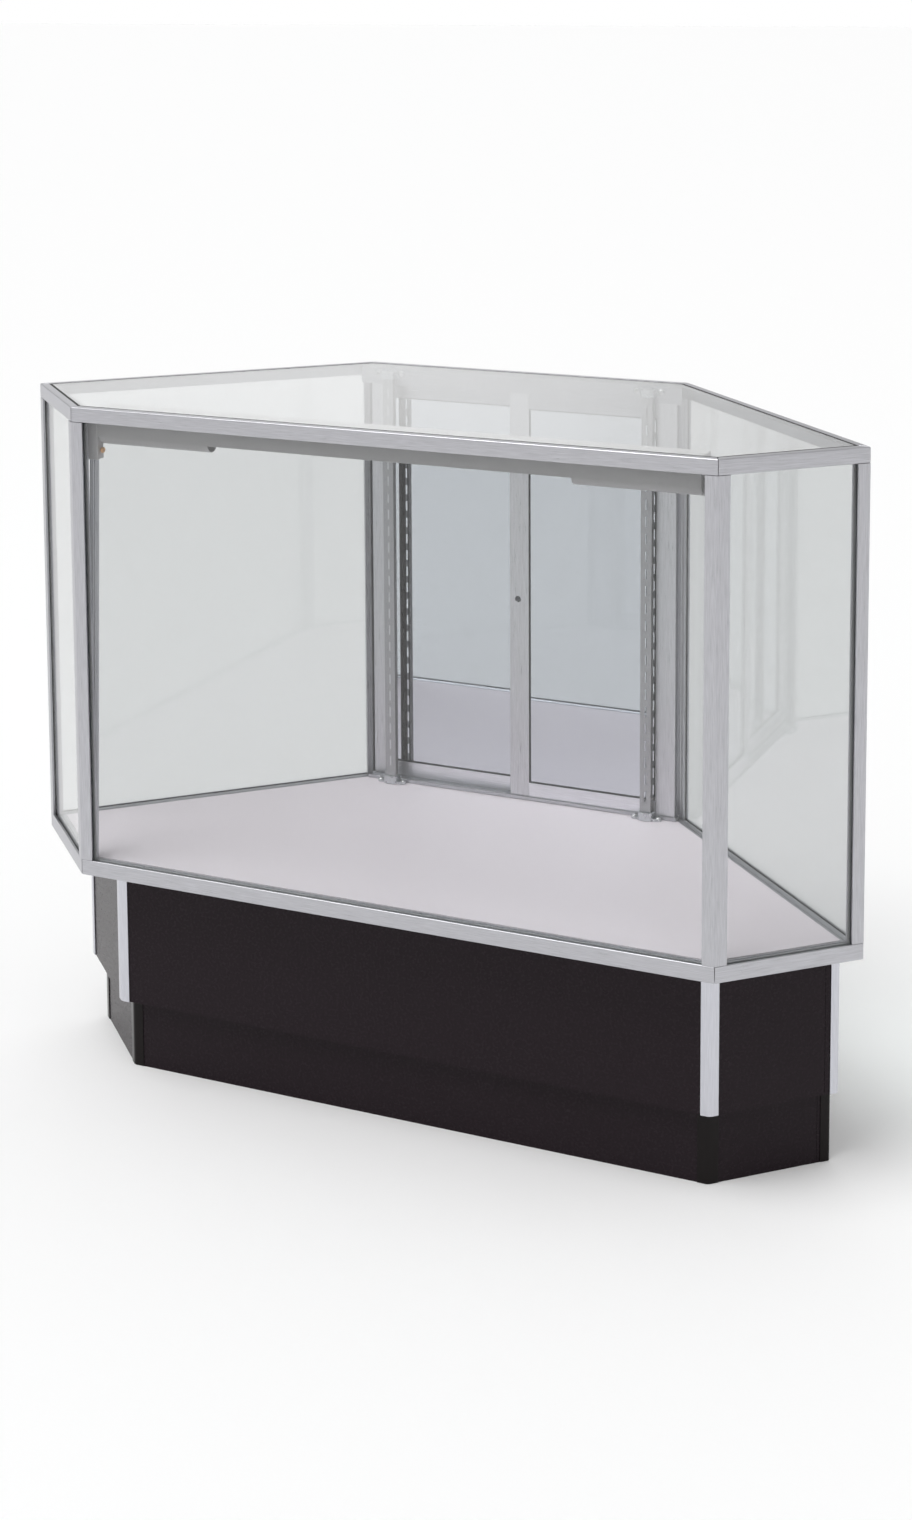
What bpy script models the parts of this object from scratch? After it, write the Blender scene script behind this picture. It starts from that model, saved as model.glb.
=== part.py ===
"""Floor-standing corner showcase: an aluminium-framed glass case on a laminate base.

The plan is a hexagon with a long front, two short fronts turned back 45 degrees, two sides that butt
against neighbouring cases, and a back with two mirrored sliding doors. Metres, +Z up. The origin is on
the floor under the middle of the plan, and the front faces -Y.

Every piece of the ring is built in the frame of its edge: X runs along the edge, Y is the inset from the
edge's outer face towards the middle of the case, and Z is the height above the floor.
"""

import math

import bmesh
import bpy
from mathutils import Vector

# Overall size
HEIGHT = 0.9652
WIDTH = 1.2192
DEPTH = 0.508
SIDE_LENGTH = 0.508
BASE_HEIGHT = 0.3048
KICK_HEIGHT = 0.1016
SHORT_FRONT_LENGTH = math.sqrt(2) * DEPTH - SIDE_LENGTH
FRONT_LENGTH = WIDTH - math.sqrt(2) * SHORT_FRONT_LENGTH
GAP = 0.0003

# Aluminium frame
RAIL_WIDTH = 0.022
TOP_RAIL_HEIGHT = 0.0205
DECK_RAIL_HEIGHT = 0.0215
RAIL_CHAMFER = 0.0006
LIP = 0.003
GROOVE_WIDTH = 0.0078
GROOVE_DEPTH = 0.008
TOP_FLAT = 0.0132
POST_FACE = 0.017
POST_GROOVE_END = 0.0125
POST_FLANGE_REACH = 0.024
POST_DEPTH = 0.014

# Glass and deck
PANE = 0.005
PANE_INSET = 0.0044
PANE_BITE = 0.0065
PANE_END = POST_GROOVE_END + 0.0008
TOP_PANE = 0.006
TOP_PANE_INSET = 0.0148
DECK_DROP = 0.0004

# Base
BOARD = 0.018
TRIM_THICKNESS = 0.0017
TRIM_LEG = 0.013
TRIM_ROUND = 0.003
TRIM_STEPS = 5
BASE_SETBACK = 0.057
KICK_SETBACK = 0.0775
KICK_LAP = 0.03
FACE_SINK = TRIM_THICKNESS + GAP

# Doors and tracks; places across the tracks are insets from the back face
TRACK_LIP = 0.0012
TRACK_LIPS = (0.0033, 0.0183, 0.0338)
TRACK_BASE = 0.0015
LOWER_LIP_RISE = 0.0035
HEADER_THICKNESS = 0.0035
UPPER_LIP_DROP = 0.0217
POCKET = 0.0024
DOOR_THICKNESS = 0.011
OUTER_DOOR_INSET = 0.0059
INNER_DOOR_INSET = 0.0211
DOOR_SIDE_PLAY = 0.003
DOOR_OVERLAP = 0.026
DOOR_LIFT = 0.002
DOOR_TOP = 0.9405
STILE = 0.030
DOOR_BOTTOM_RAIL = 0.0225
DOOR_TOP_RAIL = 0.030
MIRROR = 0.004
ROLLER_RADIUS = 0.005
ROLLER_WIDTH = 0.004
AXLE_RADIUS = 0.0015
AXLE_LENGTH = 0.0084
ROLLER_FROM_END = 0.046
RUNNING_GAP = 0.0003
LOCK_HEIGHT = 0.6305
LOCK_RADIUS = 0.006
LOCK_NOSE_RADIUS = 0.0042
LOCK_HEAD_RADIUS = 0.008
LOCK_HEAD = 0.004
LOCK_NOSE_SINK = 0.001
KEY_SLOT_WIDTH = 0.0012
KEY_SLOT_HEIGHT = 0.007
KEY_SLOT_DEPTH = 0.002
STRIKE_RADIUS = 0.0046

# Shelf standards and their clips
STANDARD_X = 0.2045
STANDARD_WIDTH = 0.0165
STANDARD_DEPTH = 0.010
STANDARD_WALL = 0.0015
SLOT_WIDTH = 0.0026
SLOT_LENGTH = 0.0148
SLOT_PITCH = 0.0254
CLIP_HALF_WIDTH = 0.01075
CLIP_NOSE = 0.0052
CLIP_PLAY = 0.0005
CLIP_STEPS = 8
CLIP_HEIGHT = 0.012
CLIP_FLOOR = 0.003
LUG_REACH = 0.023
LUG_DEPTH = 0.0095

# Light
SHEET = 0.0012
HOUSING_END = 0.029
HOUSING_FRONT = 0.0225
HOUSING_DEPTH = 0.038
HOUSING_TOP = 0.9575
HOUSING_FRONT_BOTTOM = 0.9222
HOUSING_BACK_BOTTOM = 0.935
COVER_RADIUS = 0.014
COVER_INSET = 0.0388
COVER_CENTRE = 0.925
COVER_TOP = 0.947
COVER_LENGTH = 0.1708
CONNECTOR_X = (0.0093, 0.0286)
CONNECTOR_DEPTH = 0.016
CONNECTOR_BOTTOM = 0.8905
CONNECTOR_TOP = 0.956
CONDUIT_RADIUS = 0.0065
CONDUIT_FOOT = (0.0088, 0.0208)
CONDUIT_HEAD = (0.0183, 0.0305)

TRACK_FACE = TRACK_LIPS[-1] + TRACK_LIP
STANDARD_INSET = TRACK_FACE + GAP + CLIP_PLAY + STANDARD_DEPTH
DECK_TOP = BASE_HEIGHT + DECK_RAIL_HEIGHT
TOP_RAIL_BOTTOM = HEIGHT - TOP_RAIL_HEIGHT
TOP_LEDGE = HEIGHT - 0.0065
TRACK_TOP = DECK_TOP + GAP + TRACK_BASE
HEADER_BOTTOM = TOP_LEDGE - HEADER_THICKNESS
DOOR_BOTTOM = TRACK_TOP + DOOR_LIFT
STANDARD_BOTTOM = DECK_TOP + GAP + CLIP_FLOOR + GAP
STANDARD_TOP = HEADER_BOTTOM - GAP - CLIP_FLOOR - GAP

EDGES = ("front_left", "front", "front_right", "side_right", "back", "side_left")
CORNERS = ("left", "front_left", "front_right", "right", "back_right", "back_left")
FRONT_LEFT, FRONT, FRONT_RIGHT, SIDE_RIGHT, BACK, SIDE_LEFT = range(6)
WIDE, SQUARE = math.radians(135), math.radians(90)
ANGLES = (SQUARE, WIDE, WIDE, SQUARE, WIDE, WIDE)
HEADINGS = tuple(math.radians(a) for a in (-45, 0, 45, 135, 180, 225))
ROUND_SIDES = 20

FINISHES = {
    "aluminium": ((0.72, 0.72, 0.75), 0.32, 1.0, 0.0),
    "glass": ((0.86, 0.93, 0.90), 0.02, 0.0, 0.9),
    "deck_melamine": ((0.80, 0.77, 0.79), 0.35, 0.0, 0.0),
    "black_laminate": ((0.040, 0.034, 0.036), 0.42, 0.0, 0.0),
    "mirror": ((0.86, 0.88, 0.88), 0.02, 1.0, 0.0),
    "zinc": ((0.62, 0.64, 0.66), 0.30, 1.0, 0.0),
    "light_enamel": ((0.52, 0.52, 0.53), 0.45, 0.2, 0.0),
    "nylon": ((0.80, 0.80, 0.78), 0.50, 0.0, 0.0),
    "chrome": ((0.78, 0.79, 0.80), 0.12, 1.0, 0.0),
}


def clear_scene():
    for obj in list(bpy.data.objects):
        bpy.data.objects.remove(obj, do_unlink=True)


def finish(name):
    """The Principled material of this name, made on its first use."""
    made = bpy.data.materials.get(name)
    if made:
        return made
    colour, roughness, metallic, transmission = FINISHES[name]
    made = bpy.data.materials.new(name)
    made.use_nodes = True
    shader = made.node_tree.nodes["Principled BSDF"]
    shader.inputs["Base Color"].default_value = (*colour, 1)
    shader.inputs["Roughness"].default_value = roughness
    shader.inputs["Metallic"].default_value = metallic
    shader.inputs["Transmission Weight"].default_value = transmission
    return made


def empty(name, location, heading=0.0):
    obj = bpy.data.objects.new(name, None)
    obj.location = location
    obj.rotation_euler.z = heading
    bpy.context.scene.collection.objects.link(obj)
    return obj


def solid(name, rings, material, parent=None, location=(0, 0, 0), round_piece=False):
    """A closed object: rings of equal length, joined in order, with the first and last filled."""
    mesh = bpy.data.meshes.new(name)
    bm = bmesh.new()
    made = [[bm.verts.new(point) for point in ring] for ring in rings]
    for near, far in zip(made, made[1:]):
        for i in range(len(near)):
            j = (i + 1) % len(near)
            bm.faces.new((near[i], near[j], far[j], far[i]))
    bm.faces.new(made[0])
    bm.faces.new(made[-1])
    bmesh.ops.recalc_face_normals(bm, faces=bm.faces)
    bm.to_mesh(mesh)
    bm.free()
    mesh.materials.append(finish(material))
    if round_piece:
        mesh.shade_smooth()
        mesh.set_sharp_from_angle(angle=math.radians(40))
    obj = bpy.data.objects.new(name, mesh)
    obj.location = location
    obj.parent = parent
    bpy.context.scene.collection.objects.link(obj)
    return obj


def box(name, low, high, material, parent=None):
    """A box between two corners in its parent's frame, with its origin at the middle of its underside."""
    foot = Vector(((low[0] + high[0]) / 2, (low[1] + high[1]) / 2, low[2]))
    half_x, half_y, tall = (high[0] - low[0]) / 2, (high[1] - low[1]) / 2, high[2] - low[2]
    outline = ((-half_x, -half_y), (half_x, -half_y), (half_x, half_y), (-half_x, half_y))
    return solid(name, [[(x, y, z) for x, y in outline] for z in (0, tall)], material, parent, foot)


def turned(name, profile, material, parent, location):
    """A solid of revolution about its own Y axis, from (radius, y) points."""
    turns = [2 * math.pi * k / ROUND_SIDES for k in range(ROUND_SIDES)]
    rings = [[(r * math.cos(a), y, r * math.sin(a)) for a in turns] for r, y in profile]
    return solid(name, rings, material, parent, location, round_piece=True)


def arc(centre, radius, start, sweep, steps):
    """Points along a circular arc, both ends included."""
    turns = [start + sweep * k / steps for k in range(steps + 1)]
    return [(centre[0] + radius * math.cos(a), centre[1] + radius * math.sin(a)) for a in turns]


def combine(target, tool, operation="DIFFERENCE"):
    """Cuts the tool out of the target, or joins it on, and hides the tool."""
    modifier = target.modifiers.new(tool.name, "BOOLEAN")
    modifier.operation = operation
    modifier.object = tool
    tool.hide_render = True
    tool.display_type = "WIRE"


def plan_corners():
    """The six outer corners of the case, counter-clockwise from the left one."""
    shift = SHORT_FRONT_LENGTH / math.sqrt(2)
    front, turn = -DEPTH / 2, -DEPTH / 2 + shift
    back_half = WIDTH / 2 - SIDE_LENGTH / math.sqrt(2)
    right = [(FRONT_LENGTH / 2, front), (WIDTH / 2, turn), (back_half, DEPTH / 2)]
    (cx, cy), (dx, dy), (ex, ey) = right
    return [Vector(p) for p in ((-dx, dy), (-cx, cy), (cx, cy), (dx, dy), (ex, ey), (-ex, ey))]


def inset_plan(corners, front, side, back):
    """The hexagon whose three fronts, two sides and back lie this far inside the given one."""
    insets = (front, front, front, side, back, side)
    result = []
    for i, corner in enumerate(corners):
        before, after = insets[i - 1], insets[i]
        along = (before + after * math.cos(ANGLES[i])) / math.sin(ANGLES[i])
        heading = HEADINGS[i]
        forward = Vector((math.cos(heading), math.sin(heading)))
        inward = Vector((-forward.y, forward.x))
        result.append(corner + forward * along + inward * after)
    return result


class Ring:
    """A hexagonal ring: one empty at the start of each edge, turned along it."""

    def __init__(self, name, corners):
        self.corners = corners
        self.empties = [
            empty(f"{name}_{EDGES[i]}", (*corners[i], 0), HEADINGS[i]) for i in range(len(EDGES))
        ]

    def length(self, edge):
        return (self.corners[(edge + 1) % len(EDGES)] - self.corners[edge]).length

    def start(self, edge, inset, beside=None):
        """Where a line at this inset begins: at the mitre, or at the line beside it on the edge before."""
        beside = inset if beside is None else beside
        angle = ANGLES[edge]
        return (beside + inset * math.cos(angle)) / math.sin(angle)

    def end(self, edge, inset, beside=None):
        """Where a line at this inset ends: at the mitre, or at the line beside it on the edge after."""
        beside = inset if beside is None else beside
        angle = ANGLES[(edge + 1) % len(EDGES)]
        return self.length(edge) - (beside + inset * math.cos(angle)) / math.sin(angle)

    def bar(self, name, edge, profile, material, beside_start=None, beside_end=None):
        """A bar of constant section along an edge, from (inset, height) points, cut at its neighbours."""
        near = [(self.start(edge, y, beside_start) + GAP / 2, y, z) for y, z in profile]
        far = [(self.end(edge, y, beside_end) - GAP / 2, y, z) for y, z in profile]
        return solid(name, [near, far], material, self.empties[edge])

    def beyond_corner(self, corner, along, inset):
        """A point given from a corner back along the edge before it, in the frame of the edge after it."""
        angle = ANGLES[corner]
        return (
            along * math.cos(angle) + inset * math.sin(angle),
            along * math.sin(angle) - inset * math.cos(angle),
        )


def rectangle(low, high, bottom, top):
    return [(low, bottom), (high, bottom), (high, top), (low, top)]


def top_rail_profile():
    """Groove below for a pane, and above it a flat rim and a ledge for the top glass."""
    bottom, groove_end = TOP_RAIL_BOTTOM, LIP + GROOVE_WIDTH
    return [
        (0, bottom), (LIP, bottom), (LIP, bottom + GROOVE_DEPTH), (groove_end, bottom + GROOVE_DEPTH),
        (groove_end, bottom), (RAIL_WIDTH, bottom), (RAIL_WIDTH, TOP_LEDGE), (TOP_FLAT, TOP_LEDGE),
        (TOP_FLAT, HEIGHT), (RAIL_CHAMFER, HEIGHT), (0, HEIGHT - RAIL_CHAMFER),
    ]


def back_top_rail_profile():
    """An angle: its web closes the back of the upper track and its flat rim edges the top glass."""
    under = TOP_LEDGE + GAP
    return [
        (0, TOP_RAIL_BOTTOM), (LIP, TOP_RAIL_BOTTOM), (LIP, under), (TOP_FLAT, under),
        (TOP_FLAT, HEIGHT), (RAIL_CHAMFER, HEIGHT), (0, HEIGHT - RAIL_CHAMFER),
    ]


def deck_rail_profile(grooved):
    floor, groove_end = DECK_TOP - GROOVE_DEPTH, LIP + GROOVE_WIDTH
    groove = [(groove_end, DECK_TOP), (groove_end, floor), (LIP, floor), (LIP, DECK_TOP)]
    return [
        (0, BASE_HEIGHT), (RAIL_WIDTH, BASE_HEIGHT), (RAIL_WIDTH, DECK_TOP),
        *(groove if grooved else []),
        (RAIL_CHAMFER, DECK_TOP), (0, DECK_TOP - RAIL_CHAMFER),
    ]


def make_frame(ring):
    for edge, name in enumerate(EDGES):
        top = back_top_rail_profile() if edge == BACK else top_rail_profile()
        ring.bar(f"top_rail_{name}", edge, top, "aluminium")
        ring.bar(f"deck_rail_{name}", edge, deck_rail_profile(edge != BACK), "aluminium")
    for corner, name in enumerate(CORNERS):
        make_post(ring, corner, name)


def glazed_side():
    """One side of a post from its outer corner inwards, as (along, inset): face, pane groove, flange."""
    groove_end = LIP + GROOVE_WIDTH
    return [
        (POST_FACE, 0), (POST_FACE, LIP), (POST_GROOVE_END, LIP), (POST_GROOVE_END, groove_end),
        (POST_FLANGE_REACH, groove_end), (POST_FLANGE_REACH, POST_DEPTH),
    ]


def door_side():
    """The doors' side of a back post: the face, and behind it the pocket that a closed door's edge enters."""
    return [
        (POST_FACE, 0), (POST_FACE, LIP), (POCKET, LIP),
        (POCKET, POST_DEPTH * math.sqrt(2) - POCKET),
    ]


def make_post(ring, corner, name):
    edge_before, edge_after = (corner - 1) % len(EDGES), corner
    after = door_side() if edge_after == BACK else glazed_side()
    before = door_side() if edge_before == BACK else glazed_side()
    outline = [(0, 0), *after]
    if BACK not in (edge_before, edge_after):
        outline.append((ring.start(corner, POST_DEPTH), POST_DEPTH))
    outline += [ring.beyond_corner(corner, *point) for point in reversed(before)]
    levels = (DECK_TOP + GAP, TOP_RAIL_BOTTOM - GAP)
    rings = [[(x, y, z) for x, y in outline] for z in levels]
    solid(f"post_{name}", rings, "aluminium", ring.empties[corner])


def make_glass(ring):
    bottom, top = DECK_TOP - PANE_BITE, TOP_RAIL_BOTTOM + PANE_BITE
    for edge, name in enumerate(EDGES):
        if edge != BACK:
            low = (PANE_END, PANE_INSET, bottom)
            high = (ring.length(edge) - PANE_END, PANE_INSET + PANE, top)
            box(f"{name}_glass", low, high, "glass", ring.empties[edge])
    rim = inset_plan(ring.corners, TOP_PANE_INSET, TOP_PANE_INSET, TOP_PANE_INSET)
    plate("top_glass", rim, TOP_LEDGE + GAP, TOP_PANE, "glass")


def plate(name, corners, bottom, thickness, material):
    return solid(name, [[(*c, z) for c in corners] for z in (0, thickness)], material, None, (0, 0, bottom))


def make_base(outer):
    """Three set-back fronts lapped over three kick boards, between full-height sides and a back."""
    deck_edge = inset_plan(outer, *[RAIL_WIDTH + GAP] * 3)
    plate("deck_panel", deck_edge, BASE_HEIGHT, DECK_RAIL_HEIGHT - DECK_DROP, "deck_melamine")

    faces = Ring("base", inset_plan(outer, BASE_SETBACK + FACE_SINK, FACE_SINK, FACE_SINK))
    kick_line = inset_plan(outer, KICK_SETBACK, FACE_SINK, FACE_SINK)
    kicks = Ring("kick", kick_line)
    board_top, between = BASE_HEIGHT - GAP, BOARD + GAP
    front_board = rectangle(0, BOARD, KICK_HEIGHT, board_top)
    kick_board = rectangle(0, BOARD, 0, KICK_HEIGHT + KICK_LAP)
    for edge in (FRONT_LEFT, FRONT, FRONT_RIGHT):
        ends = {
            "beside_start": between if edge == FRONT_LEFT else None,
            "beside_end": between if edge == FRONT_RIGHT else None,
        }
        name = EDGES[edge]
        faces.bar(f"base_panel_{name}", edge, front_board, "black_laminate", **ends)
        kicks.bar(f"toe_kick_{name}", edge, kick_board, "black_laminate", **ends)
    faces.bar("back_panel", BACK, rectangle(0, BOARD, 0, board_top), "black_laminate")
    for edge in (SIDE_RIGHT, SIDE_LEFT):
        make_side_panel(faces, edge, board_top)

    trims = Ring("trim", inset_plan(outer, BASE_SETBACK, 0, 0))
    for corner in range(4):
        make_corner_trim(trims, corner, board_top)


def make_side_panel(ring, edge, top):
    """A side board down to the floor, cut back below for the toe space at its front end."""
    recess = KICK_SETBACK - BASE_SETBACK - FACE_SINK
    loops = []
    for inset in (0, BOARD):
        if edge == SIDE_RIGHT:
            front, step, back = 0, recess, ring.end(edge, inset) - GAP / 2
        else:
            front = ring.length(edge)
            step, back = front - recess, ring.start(edge, inset) + GAP / 2
        outline = (
            (step, 0), (back, 0), (back, top), (front, top), (front, KICK_HEIGHT), (step, KICK_HEIGHT),
        )
        loops.append([(x, inset, z) for x, z in outline])
    name = f"side_panel_{EDGES[edge].removeprefix('side_')}"
    solid(name, loops, "black_laminate", ring.empties[edge])


def make_corner_trim(ring, corner, top):
    """A folded angle round a base corner, with a rounded nose."""
    angle = ANGLES[corner]
    centre = (TRIM_ROUND / math.tan(angle / 2), TRIM_ROUND)
    nose = arc(centre, TRIM_ROUND, -math.pi / 2, angle - math.pi, TRIM_STEPS)
    inner = ring.start(corner, TRIM_THICKNESS)
    outline = [
        (TRIM_LEG, TRIM_THICKNESS), (TRIM_LEG, 0), *nose,
        ring.beyond_corner(corner, TRIM_LEG, 0), ring.beyond_corner(corner, TRIM_LEG, TRIM_THICKNESS),
        (inner, TRIM_THICKNESS),
    ]
    rings = [[(x, y, z) for x, y in outline] for z in (KICK_HEIGHT, top)]
    solid(f"corner_trim_{CORNERS[corner]}", rings, "aluminium", ring.empties[corner])


def comb_profile(web_inner, web_outer, lips_to, last):
    """The section of a double sliding-door track: a web from the first lip to an inset, with three lips."""
    points = [(TRACK_LIPS[0], web_outer), (last, web_outer), (last, web_inner)]
    for lip in reversed(TRACK_LIPS):
        far = lip + TRACK_LIP
        points += [(far, web_inner), (far, lips_to), (lip, lips_to), (lip, web_inner)]
    return list(dict.fromkeys(points))


def make_tracks(ring):
    """The header's face carries the standards' upper clips; its comb and the deck's comb guide the doors."""
    rail_face = RAIL_WIDTH + GAP
    upper = comb_profile(HEADER_BOTTOM, TOP_LEDGE, HEADER_BOTTOM - UPPER_LIP_DROP, TRACK_FACE)
    ring.bar("upper_track", BACK, upper, "aluminium", rail_face, rail_face)
    lower = comb_profile(TRACK_TOP, DECK_TOP + GAP, TRACK_TOP + LOWER_LIP_RISE, TRACK_FACE)
    end = POCKET + 2 * GAP
    rings = [[(x, y, z) for y, z in lower] for x in (end, ring.length(BACK) - end)]
    solid("lower_track", rings, "aluminium", ring.empties[BACK])


def cross_hole(name, frame, radius, x, slide):
    """Bores right through a door frame at the lock's height."""
    run = [(radius, -DOOR_THICKNESS), (radius, 2 * DOOR_THICKNESS)]
    combine(frame, turned(name, run, "aluminium", slide, (x, 0, LOCK_HEIGHT)))


def make_door(side, inset, low_x, high_x):
    """A mirrored door in a flat frame on two rollers, on an empty at the middle of its foot."""
    name = f"{side}_door"
    near_y = DEPTH / 2 - inset - DOOR_THICKNESS
    middle = (low_x + high_x) / 2
    slide = empty(f"{name}_slide", (middle, near_y, 0))
    half = (high_x - low_x) / 2
    low, high = (-half, 0, DOOR_BOTTOM), (half, DOOR_THICKNESS, DOOR_TOP)
    frame = box(f"{name}_frame", low, high, "aluminium", slide)
    light_low, light_high = DOOR_BOTTOM + DOOR_BOTTOM_RAIL, DOOR_TOP - DOOR_TOP_RAIL
    opening = half - STILE
    low, high = (-opening, -DOOR_THICKNESS, light_low), (opening, 2 * DOOR_THICKNESS, light_high)
    combine(frame, box(f"{name}_light", low, high, "aluminium", slide))
    sheet_y = (DOOR_THICKNESS - MIRROR) / 2
    low = (-opening + GAP, sheet_y, light_low + GAP)
    high = (opening - GAP, sheet_y + MIRROR, light_high - GAP)
    box(f"{name}_mirror", low, high, "mirror", slide)
    axle_z = TRACK_TOP + GAP + ROLLER_RADIUS
    for hand, x in (("left", -half + ROLLER_FROM_END), ("right", half - ROLLER_FROM_END)):
        make_roller(f"{name}_roller_{hand}", frame, slide, x, axle_z)
    return slide, frame, middle


def make_roller(name, frame, slide, x, z):
    """A wheel in a pocket in the door's foot, with its origin on its axle."""
    centre_y = DOOR_THICKNESS / 2
    clear, half_width = ROLLER_RADIUS + 2 * RUNNING_GAP, ROLLER_WIDTH / 2 + RUNNING_GAP
    low = (x - clear, centre_y - half_width, DOOR_BOTTOM - ROLLER_RADIUS)
    high = (x + clear, centre_y + half_width, z + clear)
    combine(frame, box(f"{name}_pocket", low, high, "aluminium", slide))
    bore_radius, reach = AXLE_RADIUS + RUNNING_GAP, AXLE_LENGTH / 2 + RUNNING_GAP
    bore = [(bore_radius, -reach), (bore_radius, reach)]
    combine(frame, turned(f"{name}_bore", bore, "aluminium", slide, (x, centre_y, z)))
    half_axle, half_wheel = AXLE_LENGTH / 2, ROLLER_WIDTH / 2
    profile = [
        (AXLE_RADIUS, -half_axle), (AXLE_RADIUS, -half_wheel), (ROLLER_RADIUS, -half_wheel),
        (ROLLER_RADIUS, half_wheel), (AXLE_RADIUS, half_wheel), (AXLE_RADIUS, half_axle),
    ]
    turned(name, profile, "nylon", slide, (x, centre_y, z))


def make_doors():
    """The inner door closes the right half and the outer door the left half, with their stiles lapped."""
    back_half = WIDTH / 2 - SIDE_LENGTH / math.sqrt(2)
    reach = back_half - POCKET - DOOR_SIDE_PLAY
    lap = DOOR_OVERLAP / 2
    inner_slide, inner_frame, inner_middle = make_door("inner", INNER_DOOR_INSET, -lap, reach)
    cross_hole("strike_hole", inner_frame, STRIKE_RADIUS, -inner_middle, inner_slide)
    outer_slide, outer_frame, outer_middle = make_door("outer", OUTER_DOOR_INSET, -reach, lap)
    cross_hole("lock_bore", outer_frame, LOCK_RADIUS + RUNNING_GAP, -outer_middle, outer_slide)
    make_lock(outer_slide, -outer_middle)


def make_lock(slide, x):
    """A plunger lock's plug in the outer door: its nose faces the inner door, its key slot the clerk."""
    step, head_from = DOOR_THICKNESS / 3, DOOR_THICKNESS + RUNNING_GAP
    face = head_from + LOCK_HEAD
    profile = [
        (LOCK_NOSE_RADIUS, LOCK_NOSE_SINK), (LOCK_NOSE_RADIUS, step), (LOCK_RADIUS, step),
        (LOCK_RADIUS, head_from), (LOCK_HEAD_RADIUS, head_from), (LOCK_HEAD_RADIUS, face),
    ]
    plug = turned("lock_plug", profile, "chrome", slide, (x, 0, LOCK_HEIGHT))
    half_width, half_height = KEY_SLOT_WIDTH / 2, KEY_SLOT_HEIGHT / 2
    low = (x - half_width, face - KEY_SLOT_DEPTH, LOCK_HEIGHT - half_height)
    high = (x + half_width, face + KEY_SLOT_DEPTH, LOCK_HEIGHT + half_height)
    combine(plug, box("key_slot", low, high, "chrome", slide))


def make_standard(side, x):
    """A slotted channel, open at its back, held by a clip on the deck and one on the header's face."""
    place = empty(f"{side}_standard_place", (x, DEPTH / 2 - STANDARD_INSET, 0))
    half, wall, deep = STANDARD_WIDTH / 2, STANDARD_WALL, STANDARD_DEPTH
    outline = [
        (-half, 0), (half, 0), (half, deep), (half - wall, deep),
        (half - wall, wall), (-half + wall, wall), (-half + wall, deep), (-half, deep),
    ]
    rings = [[(px, py, z) for px, py in outline] for z in (STANDARD_BOTTOM, STANDARD_TOP)]
    channel = solid(f"shelf_standard_{side}", rings, "zinc", place)
    tall = STANDARD_TOP - STANDARD_BOTTOM
    count = int((tall - 2 * CLIP_HEIGHT) / SLOT_PITCH)
    first = STANDARD_BOTTOM + (tall - (count - 1) * SLOT_PITCH - SLOT_LENGTH) / 2
    combine(channel, slot_row(f"{side}_standard_slots", first, count, place))
    make_clip(f"standard_clip_lower_{side}", place, DECK_TOP + GAP, 1)
    make_clip(f"standard_clip_upper_{side}", place, HEADER_BOTTOM - GAP, -1)


def slot_row(name, first, count, parent):
    """One cutter holding every slot of a standard, a box at each pitch."""
    mesh = bpy.data.meshes.new(name)
    bm = bmesh.new()
    for k in range(count):
        made = bmesh.ops.create_cube(bm, size=1)["verts"]
        bmesh.ops.scale(bm, vec=(SLOT_WIDTH, 2 * STANDARD_WALL, SLOT_LENGTH), verts=made)
        middle = (0, STANDARD_WALL / 2, first + k * SLOT_PITCH + SLOT_LENGTH / 2)
        bmesh.ops.translate(bm, vec=middle, verts=made)
    bm.to_mesh(mesh)
    bm.free()
    tool = bpy.data.objects.new(name, mesh)
    tool.parent = parent
    bpy.context.scene.collection.objects.link(tool)
    return tool


def make_clip(name, place, level, up):
    """A round-nosed block over the standard's end, with a screw lug each side.

    The lower clip's lugs lie flat on the deck. The upper clip, where up is -1, has its lugs upright at its
    back, against the header.
    """
    back = STANDARD_DEPTH + CLIP_PLAY
    nose = arc((0, 0), CLIP_HALF_WIDTH, math.pi, math.pi, CLIP_STEPS)
    flatten = CLIP_NOSE / CLIP_HALF_WIDTH
    outline = [(CLIP_HALF_WIDTH, back), (-CLIP_HALF_WIDTH, back), *[(x, y * flatten) for x, y in nose]]
    block_rings = [[(x, y, z) for x, y in outline] for z in (0, up * CLIP_HEIGHT)]
    block = solid(name, block_rings, "zinc", place, (0, 0, level))
    radius = LUG_DEPTH / 2
    middle = STANDARD_DEPTH - CLIP_PLAY - radius if up > 0 else -radius
    outline = []
    for hand in (1, -1):
        centre = (hand * (LUG_REACH - radius), middle)
        outline += arc(centre, radius, -hand * math.pi / 2, math.pi, CLIP_STEPS)
    if up > 0:
        lug_rings = [[(x, y, z) for x, y in outline] for z in (0, CLIP_FLOOR)]
    else:
        lug_rings = [[(x, y, z) for x, z in outline] for y in (back, back - CLIP_FLOOR)]
    combine(block, solid(f"{name}_lugs", lug_rings, "zinc", place, (0, 0, level)), "UNION")
    pocket_half = STANDARD_WIDTH / 2 + GAP
    low_z, high_z = sorted((level + up * CLIP_FLOOR, level + up * 2 * CLIP_HEIGHT))
    low, high = (-pocket_half, -GAP, low_z), (pocket_half, 2 * back, high_z)
    combine(block, box(f"{name}_pocket", low, high, "zinc", place))


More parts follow.
